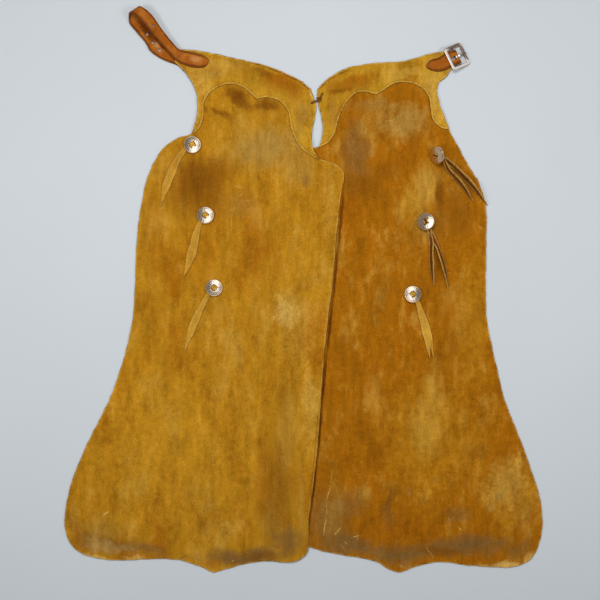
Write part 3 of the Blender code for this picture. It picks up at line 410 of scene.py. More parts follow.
# Scratches and rubbed lines, by picture points
SCRATCHES = {
    "columns": ("across_1", "down_1", "across_2", "down_2", "half_width", "strength"),
    "left_leg": (
        (231, 214, 232, 235, 0.8, 0.6), (103, 515, 110, 511, 1.4, 0.9), (293, 233, 298, 229, 0.8, 0.6),
        (296, 249, 299, 247, 0.7, 0.5), (112, 491, 115, 488, 0.8, 0.6), (137, 402, 139, 400, 0.9, 0.6),
        (220, 520, 222, 532, 0.8, 0.5), (214, 455, 213, 466, 0.9, 0.3), (252, 448, 254, 460, 0.8, 0.5),
        (232, 185, 246, 189, 1.0, 0.3), (285, 141, 312, 152, 1.4, 0.3), (239, 196, 242, 194, 1.0, 0.4),
        (134, 553, 134, 558, 0.8, 0.7), (232, 562, 234, 560, 0.8, 0.8), (180, 455, 186, 468, 0.9, 0.3),
        (190, 543, 198, 532, 0.8, 0.35),
    ),
    "right_leg": (
        (332, 468, 331, 484, 0.9, 0.55), (331, 484, 326, 502, 0.9, 0.75), (326, 500, 327, 516, 0.8, 0.6),
        (326, 516, 323, 539, 0.9, 0.9), (350, 538, 360, 535, 0.7, 0.7), (358, 532, 357, 540, 0.9, 0.6),
        (334, 535, 341, 527, 1.4, 0.6), (340, 543, 346, 552, 0.7, 0.45), (348, 545, 343, 540, 0.7, 0.4),
        (424, 543, 434, 560, 0.8, 0.35), (398, 564, 404, 568, 0.7, 0.5), (448, 517, 450, 521, 1.0, 0.6),
        (458, 526, 462, 531, 0.8, 0.6), (383, 122, 395, 120, 1.2, 0.3), (364, 138, 367, 126, 1.0, 0.35),
        (478, 226, 482, 229, 1.0, 0.5), (420, 440, 421, 452, 0.8, 0.35), (420, 495, 424, 508, 0.9, 0.35),
    ),
    "left_yoke": ((222, 60, 232, 64, 0.8, 0.3), (309.0, 90.0, 313.6, 102.5, 1.2, 1.0)),
    "right_yoke": ((380, 84, 392, 79, 0.9, 0.3),),
}

# Tones in linear light; "edge" is the raw cut edge
TONES = {
    "columns": ("red", "green", "blue"),
    "left_leg": (0.398, 0.178, 0.0085),
    "right_leg": (0.318, 0.110, 0.0030),
    "yoke": (0.440, 0.222, 0.0135),
    "tie": (0.480, 0.245, 0.026),
    # tie_dark: the lace's dark brown; it also serves as painted shade on the ties that stand on edge and in the dark
    # lines along the left leg's inner edge
    "tie_dark": (0.120, 0.030, 0.0035),
    "white": (1.0, 1.0, 1.0),
    "glow": (1.0, 0.62, 0.18),
    "dark": (0.168, 0.055, 0.0035),
    "umber": (0.245, 0.086, 0.004),
    "grime": (0.190, 0.092, 0.022),
    "dust": (0.340, 0.190, 0.036),
    "ash": (0.400, 0.230, 0.060),
    "light": (0.500, 0.285, 0.042),
    "amber": (0.460, 0.222, 0.012),
    "pale": (0.560, 0.340, 0.085),
    "red": (0.310, 0.098, 0.003),
    "edge": (0.600, 0.370, 0.090),
    "strap": (0.310, 0.082, 0.0075),
    "strap_dark": (0.080, 0.015, 0.002),
    "strap_worn": (0.440, 0.150, 0.022),
    "strap_pale": (0.480, 0.210, 0.070),
    # cut: the panels' dark cut walls, partly the edges' own colour and partly painted shade for the dark line along
    # panel edges and seams
    "cut": (0.150, 0.060, 0.006),
    "thread": (0.200, 0.085, 0.020),
    # silver: warm, partly the metal's own tone and partly painted reflection of the brown leather round the conchos
    "silver": (0.880, 0.750, 0.615),
    "patina": (0.120, 0.060, 0.030),
    "steel": (0.740, 0.700, 0.670),
    "floor": (0.560, 0.592, 0.612),
}


def tone(name):
    return (*TONES[name], 1.0)


# Smooth outlines

def smooth_run(rows, step=OUTLINE_STEP):
    """Points about a step apart on a smooth curve through the rows."""
    rows = np.array(rows, float)
    along = np.concatenate([[0], np.cumsum(np.linalg.norm(np.diff(rows, axis=0), axis=1) + 1e-9)])
    slopes = np.gradient(rows, along, axis=0) if len(rows) > 2 else np.repeat(
        (rows[1:] - rows[:1]) / along[1], 2, axis=0
    )
    points = [rows[0]]
    for i in range(len(rows) - 1):
        span = along[i + 1] - along[i]
        for k in range(1, max(1, round(span / step)) + 1):
            t = k / max(1, round(span / step))
            h00 = 2 * t**3 - 3 * t**2 + 1
            h10 = t**3 - 2 * t**2 + t
            h01 = -2 * t**3 + 3 * t**2
            h11 = t**3 - t**2
            points.append(
                h00 * rows[i] + h10 * span * slopes[i] + h01 * rows[i + 1] + h11 * span * slopes[i + 1]
            )
    return np.array(points)


def closed_outline(runs, step=OUTLINE_STEP):
    """One closed outline from smooth runs that meet end to end."""
    return np.concatenate([smooth_run(run, step)[:-1] for run in runs])


def leg_outline(side):
    rows = LEG_ROWS[side]["rows"]
    down, outer, inner = np.array(rows, float).T
    last_y, last_outer, last_inner = rows[-1]
    hem = [
        [(last_outer + share * (last_inner - last_outer), last_y - below) for share, below in run]
        for run in HEM_ROWS[side].values()
    ]
    tops = LEG_TOPS[side]
    return closed_outline([
        tops["hip"][::-1],
        np.stack([outer, down], axis=1),
        hem[0],
        hem[1],
        np.stack([inner, down], axis=1)[::-1],
        tops["corner"][::-1],
        tops["under_yoke"][::-1],
    ])


def yoke_outline(side):
    return closed_outline(list(YOKE_RUNS[side].values()), YOKE_CELL)




# Procedural finishes

class Finish:
    """A procedural material: a shader and the nodes that feed it."""

    def __init__(self, name, roughness, metallic=0.0, sheen=0.0, coat=0.0, specular=0.5, tint="white"):
        self.made = bpy.data.materials.new(name)
        self.made.use_nodes = True
        self.tree = self.made.node_tree
        self.shader = self.tree.nodes["Principled BSDF"]
        values = {
            "Roughness": roughness, "Metallic": metallic, "Sheen Weight": sheen,
            "Coat Weight": coat, "Specular IOR Level": specular,
        }
        for socket, value in values.items():
            self.shader.inputs[socket].default_value = value
        for socket in ("Specular Tint", "Sheen Tint"):
            self.shader.inputs[socket].default_value = tone(tint)
        self.place = self.add("TexCoord", {}).outputs["Object"]

    def add(self, kind, feeds, **settings):
        item = self.tree.nodes.new("ShaderNode" + kind)
        for key, value in settings.items():
            setattr(item, key, value)
        for socket, value in feeds.items():
            if isinstance(value, bpy.types.NodeSocket):
                self.tree.links.new(value, item.inputs[socket])
            else:
                item.inputs[socket].default_value = value
        return item

    def calc(self, operation, *values):
        return self.add("Math", dict(enumerate(values)), operation=operation).outputs[0]

    def vector(self, operation, *values):
        return self.add("VectorMath", dict(enumerate(values)), operation=operation).outputs[0]

    def noise(self, place, scale, detail=3.0, roughness=0.55):
        feeds = {"Vector": place, "Scale": scale, "Detail": detail, "Roughness": roughness}
        return self.add("TexNoise", feeds).outputs[0]

    def spread(self, value, low, high, to_low=0.0, to_high=1.0):
        """A value carried softly from one range to another."""
        feeds = {"Value": value, "From Min": low, "From Max": high, "To Min": to_low, "To Max": to_high}
        return self.add("MapRange", feeds, interpolation_type="SMOOTHSTEP").outputs[0]

    def mix(self, factor, one, other, blend="MIX"):
        return self.add("Mix", {0: factor, 6: one, 7: other}, data_type="RGBA", blend_type=blend).outputs[2]

    def attribute(self, name):
        return self.add("Attribute", {}, attribute_name=name).outputs["Fac"]

    def scaled(self, colour, factor):
        if not isinstance(colour, bpy.types.NodeSocket):
            colour = colour[:3]
        return self.add("VectorMath", {0: colour, "Scale": factor}, operation="SCALE").outputs[0]

    def bent(self, scale, reach):
        """The object's own coordinates, moved a little by soft noise."""
        feeds = {"Vector": self.place, "Scale": scale, "Detail": 3.0}
        drift = self.add("TexNoise", feeds).outputs["Color"]
        centred = self.vector("SUBTRACT", drift, (0.5, 0.5, 0.5))
        return self.vector("ADD", self.place, self.vector("MULTIPLY", centred, (reach, reach, 0.0)))

    def ellipse(self, coords, centre, half_x, half_y, turn, core=0.0):
        """One inside an ellipse, softly down to zero at its edge."""
        feeds = {
            "Vector": coords, "Location": (centre[0], centre[1], 0.0), "Rotation": (0.0, 0.0, turn),
            "Scale": (half_x, half_y, 1.0),
        }
        inner = self.add("Mapping", feeds, vector_type="TEXTURE").outputs[0]
        away = self.add("VectorMath", {0: inner}, operation="LENGTH").outputs["Value"]
        return self.spread(away, 1.0, core)

    def relief(self, height, strength, distance):
        bump = self.add("Bump", {"Height": height, "Strength": strength, "Distance": distance})
        self.tree.links.new(bump.outputs[0], self.shader.inputs["Normal"])

    def colour(self, socket):
        self.tree.links.new(socket, self.shader.inputs["Base Color"])
        return self.made


def frame_spot(across, down):
    x, y = spot(across, down)
    return (x + ORIGIN[0]) * MM, (y + ORIGIN[1]) * MM


STAIN_SPREAD = 1.25


def suede(name, base, panel, seed, edge_share=0.55, clouds=1.0):
    """Napped leather: soft clouds of colour, the nap, the listed stains, scratches and dark lines, with painted shade
    in some stains and dark lines, and the worn edge.
    """
    finish = Finish(name, roughness=0.94, sheen=0.08, specular=0.12, tint="glow")
    shifted = finish.vector("ADD", finish.place, (seed, seed * 0.7, 0.0))
    wide = finish.noise(finish.vector("MULTIPLY", shifted, (10.0, 5.0, 10.0)), 1.0, 7.0, 0.64)
    cloud = finish.noise(finish.vector("MULTIPLY", shifted, (27.0, 13.0, 27.0)), 1.0, 6.0, 0.68)
    mottle = finish.noise(shifted, 95.0, 6.0, 0.72)
    streak = finish.noise(finish.vector("MULTIPLY", shifted, (90.0, 18.0, 90.0)), 1.0, 4.0, 0.62)
    grain = finish.noise(shifted, 330.0, 3.0, 0.70)
    nap = finish.noise(shifted, 1100.0, 2.0, 0.6)
    colour = finish.mix(finish.spread(wide, 0.50, 0.66, 0.0, 0.75 * clouds), tone(base), tone("red"))
    colour = finish.mix(finish.spread(wide, 0.48, 0.32, 0.0, 0.60 * clouds), colour, tone("light"))
    colour = finish.mix(finish.spread(cloud, 0.53, 0.72, 0.0, 0.50 * clouds), colour, tone("light"))
    colour = finish.mix(finish.spread(cloud, 0.49, 0.30, 0.0, 0.42), colour, tone("umber"))
    soft = finish.bent(26.0, 0.034)
    ragged = finish.calc("MULTIPLY", finish.calc("SUBTRACT", finish.calc("ADD", mottle, cloud), 1.0), 1.05)
    # Stains and worn places, and in the marked rows painted shade
    for across, down, half_across, half_down, turn, strength, kind in STAINS.get(panel, ()):
        mask = finish.ellipse(
            soft, frame_spot(across, down), half_across * PHOTO["scale"] * STAIN_SPREAD * MM,
            half_down * PHOTO["scale"] * STAIN_SPREAD * MM, math.radians(turn),
        )
        patchy = finish.spread(finish.calc("ADD", mask, ragged), 0.20, 1.05, 0.0, min(1.0, strength * 1.2))
        colour = finish.mix(patchy, colour, tone(kind))
    close = finish.bent(90.0, 0.004)
    broken = finish.spread(grain, 0.36, 0.56, 0.25, 1.0)
    for x1, y1, x2, y2, half_width, strength in SCRATCHES.get(panel, ()):
        length = math.hypot(x2 - x1, y2 - y1)
        mask = finish.ellipse(
            close, frame_spot((x1 + x2) / 2, (y1 + y2) / 2), (length / 2 + half_width) * PHOTO["scale"] * MM,
            half_width * PHOTO["scale"] * MM, math.atan2(y1 - y2, x2 - x1), 0.3,
        )
        mask = finish.calc("MULTIPLY", mask, strength)
        colour = finish.mix(finish.calc("MULTIPLY", mask, broken), colour, tone("pale"))
    # Painted shadow and shade along the left leg's inner edge, and darker lines along the yokes' waist edges
    for x1, y1, x2, y2, half_width, strength in PAINTED_SHADOW_AND_DARK_LINES.get(panel, ()):
        length = math.hypot(x2 - x1, y2 - y1)
        mask = finish.ellipse(
            close, frame_spot((x1 + x2) / 2, (y1 + y2) / 2), (length / 2 + half_width) * PHOTO["scale"] * MM,
            half_width * PHOTO["scale"] * MM, math.atan2(y1 - y2, x2 - x1), 0.3,
        )
        colour = finish.mix(finish.calc("MULTIPLY", mask, strength), colour, tone("tie_dark"))
    specks = finish.spread(grain, 0.64, 0.76, 0.0, 0.30)
    colour = finish.mix(specks, colour, tone("pale"))
    rubbed = finish.spread(grain, 0.3, 0.6, edge_share * 0.6, edge_share)
    colour = finish.mix(finish.calc("MULTIPLY", finish.attribute("edge_wear"), rubbed), colour, tone("edge"))
    light = 1.0
    for pattern, share in ((cloud, 0.66), (mottle, 0.74), (streak, 0.75), (grain, 0.75), (nap, 0.35)):
        wave = finish.calc("MULTIPLY", finish.calc("SUBTRACT", pattern, 0.5), share)
        light = finish.calc("ADD", light, wave)
    height = finish.calc("ADD", finish.calc("MULTIPLY", grain, 0.7), finish.calc("MULTIPLY", nap, 0.35))
    height = finish.calc("ADD", height, finish.calc("MULTIPLY", mottle, 1.2))
    finish.relief(height, 0.5, 0.0012)
    return finish.colour(finish.scaled(colour, light))


def raw_edge(name, base="edge"):
    """A cut edge: layered fibres in the given tone."""
    finish = Finish(name, roughness=0.95, specular=0.1, tint="glow")
    fibres = finish.noise(finish.vector("MULTIPLY", finish.place, (500.0, 500.0, 2400.0)), 1.0, 3.0, 0.6)
    finish.relief(fibres, 0.5, 0.0005)
    return finish.colour(finish.scaled(tone(base), finish.spread(fibres, 0.3, 0.7, 0.62, 1.1)))


# Marks on the strap: a pale worn patch at the sewn end, partly a painted highlight; a painted bright spot at a hole in
# the lower run, where lit backdrop shows through; and painted shade on the lower run's inner face under the upper run
WEAR_AND_PAINTED_LIGHT = ((196, 60, 8, 4.5, -8, 0.75), (157.9, 45.6, 5, 4, 0, 0.9), (147, 33, 17, 4.5, -55, -0.75))


def strap_leather(name, seed):
    """Smooth oiled leather: mottled, darker along its edges, with fine pores, worn places, a painted highlight and
    bright spot, and painted shade on the loop's lower run.
    """
    finish = Finish(name, roughness=0.42, coat=0.03, specular=0.3, tint="glow")
    shifted = finish.vector("ADD", finish.place, (seed, seed * 0.4, 0.0))
    wide = finish.noise(shifted, 34.0, 4.0, 0.6)
    cloud = finish.noise(shifted, 140.0, 4.0, 0.62)
    pores = finish.add("TexVoronoi", {"Vector": shifted, "Scale": 1500.0}).outputs[0]
    colour = finish.mix(finish.spread(wide, 0.42, 0.62, 0.0, 0.75), tone("strap"), tone("strap_worn"))
    colour = finish.mix(finish.spread(cloud, 0.5, 0.25, 0.0, 0.55), colour, tone("strap_dark"))
    for across, down, half_across, half_down, turn, strength in WEAR_AND_PAINTED_LIGHT:
        mask = finish.ellipse(
            finish.bent(120.0, 0.006), frame_spot(across, down), half_across * PHOTO["scale"] * MM,
            half_down * PHOTO["scale"] * MM, math.radians(turn), 0.3,
        )
        # Pale rows are wear and painted light; the dark row is painted shade
        patch_tone = tone("strap_pale" if strength > 0 else "strap_dark")
        colour = finish.mix(finish.calc("MULTIPLY", mask, abs(strength)), colour, patch_tone)
    colour = finish.mix(finish.calc("MULTIPLY", finish.attribute("edge_wear"), 0.85), colour, tone("strap_dark"))
    height = finish.calc("ADD", finish.calc("MULTIPLY", pores, 0.5), finish.calc("MULTIPLY", cloud, 0.8))
    finish.relief(height, 0.28, 0.0006)
    rough = finish.spread(cloud, 0.3, 0.7, 0.32, 0.58)
    finish.tree.links.new(rough, finish.shader.inputs["Roughness"])
    return finish.colour(colour)


DULLED = ((452.4, 46.8, 9.5, 2.9, 23, 0.90), (463.4, 52.6, 11.5, 2.9, -58, 0.85))


def metal(name, base, roughness, worn, dulled=()):
    """Polished metal with fine scratches, and dark patina where the relief is low."""
    finish = Finish(name, roughness=roughness, metallic=1.0)
    scuffs = finish.noise(finish.vector("MULTIPLY", finish.place, (300.0, 2400.0, 900.0)), 1.0, 3.0, 0.6)
    cloud = finish.noise(finish.place, 260.0, 3.0, 0.6)
    colour = finish.mix(finish.spread(cloud, 0.5, 0.75, 0.0, worn), tone(base), tone("patina"))
    for across, down, half_across, half_down, turn, strength in dulled:
        mask = finish.ellipse(
            finish.place, frame_spot(across, down), half_across * PHOTO["scale"] * MM,
            half_down * PHOTO["scale"] * MM, math.radians(turn), 0.6,
        )
        colour = finish.mix(finish.calc("MULTIPLY", mask, strength), colour, tone("patina"))
    colour = finish.mix(finish.attribute("recess"), colour, tone("patina"))
    rough = finish.spread(scuffs, 0.3, 0.7, roughness * 0.7, roughness * 1.5)
    finish.tree.links.new(rough, finish.shader.inputs["Roughness"])
    finish.relief(scuffs, 0.12, 0.0003)
    return finish.colour(colour)


def thread_finish(name, base):
    finish = Finish(name, roughness=0.8, sheen=0.2)
    twist = finish.add("TexWave", {"Vector": finish.place, "Scale": 900.0, "Distortion": 2.0}).outputs[0]
    finish.relief(twist, 0.4, 0.0003)
    return finish.colour(finish.scaled(tone(base), finish.spread(twist, 0.0, 1.0, 0.7, 1.15)))


def backdrop_finish(name):
    """A plain pale sheet of backdrop paper."""
    finish = Finish(name, roughness=0.9, specular=0.2)
    cloud = finish.noise(finish.place, 3.0, 3.0, 0.5)
    tooth = finish.noise(finish.place, 700.0, 2.0, 0.6)
    finish.relief(tooth, 0.08, 0.0004)
    return finish.colour(finish.scaled(tone("floor"), finish.spread(cloud, 0.2, 0.8, 0.985, 1.015)))


# Meshes: all sizes in the tables' millimetres until a piece is added

def add_piece(name, verts, faces, finishes, replaced=(), wall_faces=(), body="garment", attributes=None):
    """A new piece from points in the tables' millimetres, riding on its body."""
    mesh = bpy.data.meshes.new(name)
    mesh.from_pydata([tuple((c + o) * MM for c, o in zip(v, ORIGIN)) for v in verts], [], faces)
    made = bpy.data.objects.new(name, mesh)
    bpy.context.scene.collection.objects.link(made)
    for finish in finishes:
        mesh.materials.append(finish)
    for index in wall_faces:
        mesh.polygons[index].material_index = 1
    for label, values in (attributes or {}).items():
        layer = mesh.attributes.new(label, "FLOAT", "POINT")
        layer.data.foreach_set("value", np.asarray(values, np.float32))
    mesh.validate()
    mesh.shade_smooth()
    mesh.set_sharp_from_angle(angle=math.radians(45))
    if replaced:
        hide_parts(*replaced)
    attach(made, body)
    return made


def carve(target, cutters, operation="DIFFERENCE"):
    """Cuts away, or joins, other meshes and keeps the result as the piece's mesh."""
    for cutter in cutters:
        change = target.modifiers.new("carve", "BOOLEAN")
        change.operation = operation
        change.object = cutter
        change.solver = "EXACT"
    bpy.context.view_layer.update()
    depsgraph = bpy.context.evaluated_depsgraph_get()
    mesh = bpy.data.meshes.new_from_object(target.evaluated_get(depsgraph))
    target.modifiers.clear()
    target.data = mesh
    for cutter in cutters:
        bpy.data.objects.remove(cutter)
    mesh.set_sharp_from_angle(angle=math.radians(45))
    return target


def cutter(name, shape, matrix, finish=None):
    """A shape in millimetres as a temporary object, placed by a matrix in the tables' millimetres."""
    mesh = bpy.data.meshes.new(name)
    bmesh.ops.transform(shape, matrix=Matrix.Translation(Vector(ORIGIN)) @ matrix, verts=shape.verts)
    bmesh.ops.scale(shape, vec=(MM, MM, MM), verts=shape.verts)
    shape.to_mesh(mesh)
    shape.free()
    if finish:
        mesh.materials.append(finish)
    made = bpy.data.objects.new(name, mesh)
    bpy.context.scene.collection.objects.link(made)
    return made


def round_cutter(name, centre, direction, radius, depth, finish=None):
    shape = bmesh.new()
    bmesh.ops.create_cone(shape, cap_ends=True, segments=24, radius1=radius, radius2=radius, depth=depth)
    turn = Vector(direction).to_track_quat("Z", "Y").to_matrix().to_4x4()
    return cutter(name, shape, Matrix.Translation(Vector(centre)) @ turn, finish)


def solid_tree(node):
    """A CAD node's surface in the tables' millimetres."""
    mesh = NODES[node].data
    verts = [tuple(c / MM - o for c, o in zip(v.co, ORIGIN)) for v in mesh.vertices]
    return BVHTree.FromPolygons(verts, [tuple(p.vertices) for p in mesh.polygons])


def top_at(tree, x, y):
    """The highest point of a surface at a place, or None beside it."""
    place = tree.ray_cast(Vector((x, y, 200.0)), Vector((0, 0, -1)))[0]
    return place.z if place is not None else None


def top_near(trees, x, y, reach):
    """The highest point of some surfaces at and around a place; zero where there are none."""
    best = 0.0
    for dx, dy in ((0, 0), (reach, 0), (-reach, 0), (0, reach), (0, -reach)):
        for tree in trees:
            found = top_at(tree, x + dx, y + dy)
            if found is not None:
                best = max(best, found)
    return best


# Panels

EDGE = {"ring": 3.0, "drop": 0.5, "leg_flare": 0.7, "yoke_flare": 0.9, "wobble": 0.22, "stitch_inset": 4.2}
LEG_GRID, YOKE_GRID = 5.5, 3.4
RELAX_ROUNDS = {"left_leg": 14, "right_leg": 14, "left_yoke": 12, "right_yoke": 12}


def facing_up(outline):
    """The outline turned so that it runs counter-clockwise."""
    after = np.roll(outline, -1, axis=0)
    area = (outline[:, 0] * after[:, 1] - after[:, 0] * outline[:, 1]).sum()
    return outline if area > 0 else outline[::-1]


def inset_outline(outline, inset):
    """A counter-clockwise outline moved inwards, by one distance or one for each point."""
    before, after = outline - np.roll(outline, 1, axis=0), np.roll(outline, -1, axis=0) - outline
    before /= np.linalg.norm(before, axis=1)[:, None]
    after /= np.linalg.norm(after, axis=1)[:, None]
    first = np.stack([-before[:, 1], before[:, 0]], axis=1)
    second = np.stack([-after[:, 1], after[:, 0]], axis=1)
    middle = first + second
    middle /= np.maximum(np.linalg.norm(middle, axis=1), 1e-6)[:, None]
    share = 1 / np.maximum((middle * first).sum(axis=1), 0.6)
    return outline + middle * (share * inset)[:, None]


def hand_cut(outline, seed):
    """The slight unevenness of an edge cut by hand."""
    along = np.cumsum(np.linalg.norm(outline - np.roll(outline, 1, axis=0), axis=1))
    wave = sum(np.sin(along / length + seed * length) for length in (3.7, 6.1, 11.3))
    return inset_outline(outline, wave * EDGE["wobble"])


def flared(places, outline, flare):
    """The lower face's points: those on the outline stand out a little, as a bevelled cut does."""
    wider = inset_outline(outline, np.full(len(outline), -flare))
    index = {(round(x, 3), round(y, 3)): k for k, (x, y) in enumerate(outline)}
    moved = places.copy()
    for k, (x, y) in enumerate(places):
        found = index.get((round(x, 3), round(y, 3)))
        if found is not None:
            moved[k] = wider[found]
    return moved


def panel_grid(outline, cell):
    """The panel's points and faces in the plane: a narrow ring along the edge, and a grid inside it."""
    inner_outline = inset_outline(outline, np.full(len(outline), EDGE["ring"]))
    shape = bmesh.new()
    outer = [shape.verts.new((x, y, 0)) for x, y in outline]
    inner = [shape.verts.new((x, y, 0)) for x, y in inner_outline]
    count = len(outer)
    for k in range(count):
        following = (k + 1) % count
        shape.faces.new((outer[k], outer[following], inner[following], inner[k]))
    shape.faces.new(inner)
    low, high = outline.min(axis=0), outline.max(axis=0)
    for axis in (0, 1):
        for k in range(1, math.ceil((high[axis] - low[axis]) / cell)):
            place, normal = Vector((0, 0, 0)), Vector((0, 0, 0))
            place[axis] = low[axis] + k * cell
            normal[axis] = 1
            bmesh.ops.bisect_plane(
                shape, geom=shape.verts[:] + shape.edges[:] + shape.faces[:],
                plane_co=place, plane_no=normal, dist=0.4,
            )
    shape.verts.index_update()
    places = np.array([(v.co.x, v.co.y) for v in shape.verts])
    faces = [tuple(v.index for v in face.verts) for face in shape.faces]
    edges = np.array([(e.verts[0].index, e.verts[1].index) for e in shape.edges])
    rim = np.array([v.is_boundary for v in shape.verts])
    border = [
        (loop.vert.index, loop.link_loop_next.vert.index)
        for face in shape.faces for loop in face.loops if loop.edge.is_boundary
    ]
    shape.free()
    return places, faces, edges, rim, border


def relax(values, edges, rounds):
    """Values on a grid's points, evened out with their neighbours."""
    count = len(values)
    degree = np.maximum(np.bincount(edges.ravel(), minlength=count), 1)
    for _ in range(rounds):
        total = np.bincount(edges[:, 0], weights=values[edges[:, 1]], minlength=count)
        total += np.bincount(edges[:, 1], weights=values[edges[:, 0]], minlength=count)
        values = (values + total / degree) / 2
    return values


def crease_heights(points, name):
    """The ridges and the troughs of the listed creases, apart."""
    ridge, trough = np.zeros(len(points)), np.zeros(len(points))
    scale = PHOTO["scale"]
    for x1, y1, x2, y2, bow, half_width, height in CREASES[name]:
        start, end = np.array(spot(x1, y1)), np.array(spot(x2, y2))
        run = end - start
        length = np.linalg.norm(run)
        along = (points - start) @ run / length**2
        share = np.clip(along, 0, 1)
        across = (points - start) @ np.array([-run[1], run[0]]) / length - bow * scale * 4 * share * (1 - share)
        side = np.clip(np.abs(across) / (half_width * scale), 0, 1)
        ends = np.clip(np.minimum(along, 1 - along) * 3.2 + 0.25, 0, 1)
        rise = height * (1 - side * side * (3 - 2 * side)) * ends * ends * (3 - 2 * ends)
        if height > 0:
            ridge = np.maximum(ridge, rise)
        else:
            trough = np.minimum(trough, rise)
    return ridge, trough


def ripple(points, seed, size):
    """A slight unevenness of the hide."""
    total = np.zeros(len(points))
    for k in range(6):
        angle, wave = seed * 1.7 + k * 1.3, 0.03 + 0.014 * k
        total += np.sin(points @ np.array([math.cos(angle), math.sin(angle)]) * wave + k * seed)
    return total * size / 6


def shell(name, outline, cell, below, finishes, seed):
    """A panel as a thin leather shell on its solid's form, with its creases."""
    outline = hand_cut(facing_up(outline), seed)
    places, faces, edges, rim, border = panel_grid(outline, cell)
    cad = solid_tree(name)
    heights = []
    for x, y in places:
        found = top_at(cad, x, y)
        heights.append(found if found is not None else cad.find_nearest(Vector((x, y, 12.0)))[0].z)
    under = np.maximum(relax(np.array(heights), edges, RELAX_ROUNDS[name]) - PANEL_LEATHER, 0.0)
    ridge, trough = crease_heights(places, name)
    under = under + ridge
    if below:
        lowest = np.array([top_near(below, x, y, cell * 0.5) for x, y in places])
        under = np.where(lowest > 0, np.maximum(under, lowest + GAP), under)
    top = under + PANEL_LEATHER + trough + ripple(places, seed, 0.5)
    top = np.where(rim, top - EDGE["drop"], top)
    count = len(places)
    flare = EDGE["yoke_flare"] if "yoke" in name else EDGE["leg_flare"]
    lower = flared(places, outline, flare)
    verts = [(x, y, z) for (x, y), z in zip(places, top)] + [(x, y, z) for (x, y), z in zip(lower, under)]
    all_faces = list(faces) + [tuple(i + count for i in face[::-1]) for face in faces]
    walls = range(len(all_faces), len(all_faces) + len(border))
    all_faces += [(a, a + count, b + count, b) for a, b in border]
    wear = np.concatenate([rim, rim]).astype(float)
    made = add_piece(name + "_suede", verts, all_faces, finishes, (name,), walls, attributes={"edge_wear": wear})
    return made, BVHTree.FromPolygons(verts, all_faces)


# Straps

STRAP_SECTION = {
    "columns": ("share", "thickness"),
    "strap": ((1.0, 0.42), (0.97, 0.80), (0.91, 1.0), (0.85, 0.98), (0.81, 0.86), (0.77, 0.98), (0.6, 1.0), (0.3, 1.02), (0.0, 1.03)),
    "thong": ((1.0, 0.62), (0.93, 0.92), (0.8, 1.0), (0.4, 1.0), (0.0, 1.0)),
}


def strap_points(first, second, thickness, kind):
    """Rings of points round a strap between two edge lines, and how near each point is to an edge."""
    first, second = np.asarray(first, float), np.asarray(second, float)
    middle, half = (first + second) / 2, (second - first) / 2
    run = np.gradient(middle, axis=0)
    normal = np.cross(run, half)
    normal /= np.maximum(np.linalg.norm(normal, axis=1), 1e-9)[:, None]
    for k in range(1, len(normal)):
        if normal[k] @ normal[k - 1] < 0:
            normal[k] = -normal[k]
    section = STRAP_SECTION[kind]
    profile = [(-share, part) for share, part in section] + [(share, part) for share, part in section[-2::-1]]
    rings, wear = [], []
    for c, h, n in zip(middle, half, normal):
        top = [c + h * share + n * thickness / 2 * part for share, part in profile]
        bottom = [c + h * share - n * thickness / 2 * part for share, part in profile[::-1]]
        rings.append(top + bottom)
        near = [1.0 if abs(share) > 0.9 or 0.75 < abs(share) < 0.83 else 0.0 for share, _ in profile]
        wear.append(near + near[::-1])
    return rings, wear, normal


def band(first, second, thickness, kind):
    """A closed strap between two edge lines of its middle layer: points, faces and edge wear."""
    rings, wear, _ = strap_points(first, second, thickness, kind)
    size = len(rings[0])
    verts = [p for ring in rings for p in ring]
    faces = []
    for k in range(len(rings) - 1):
        for i in range(size):
            j = (i + 1) % size
            faces.append((k * size + i, k * size + j, (k + 1) * size + j, (k + 1) * size + i))
    faces.append(tuple(range(size))[::-1])
    faces.append(tuple((len(rings) - 1) * size + i for i in range(size)))
    wear_values = [w for ring in wear for w in ring]
    wear_values[:size] = [1.0] * size
    wear_values[-size:] = [1.0] * size
    return verts, outward(verts, faces), wear_values


def outward(verts, faces):
    """The faces turned so that they look outwards."""
    shape = bmesh.new()
    made = [shape.verts.new(tuple(v)) for v in verts]
    for face in faces:
        shape.faces.new([made[i] for i in face])
    shape.verts.index_update()
    bmesh.ops.recalc_face_normals(shape, faces=shape.faces)
    turned = [tuple(v.index for v in face.verts) for face in shape.faces]
    shape.free()
    return turned


# Stitches

STITCH = {"length": 3.0, "pitch": 4.3, "radius": 0.42, "sides": 6}
STITCH_RINGS = ((-1.0, 0.15, -0.45), (-0.8, 0.75, -0.05), (-0.35, 1.0, 0.22), (0.35, 1.0, 0.22), (0.8, 0.75, -0.05), (1.0, 0.15, -0.45))


def walk(points, pitch):
    """Places a pitch apart along a line of points, with the way ahead at each."""
    points = np.asarray(points, float)
    steps = np.linalg.norm(np.diff(points, axis=0), axis=1)
    along = np.concatenate([[0], np.cumsum(steps)])
    for at in np.arange(pitch / 2, along[-1], pitch):
        place = np.array([np.interp(at, along, points[:, k]) for k in range(points.shape[1])])
        nearby = np.array([np.interp(at + 0.5, along, points[:, k]) for k in range(points.shape[1])])
        ahead = nearby - place
        yield place, ahead / max(np.linalg.norm(ahead), 1e-9)


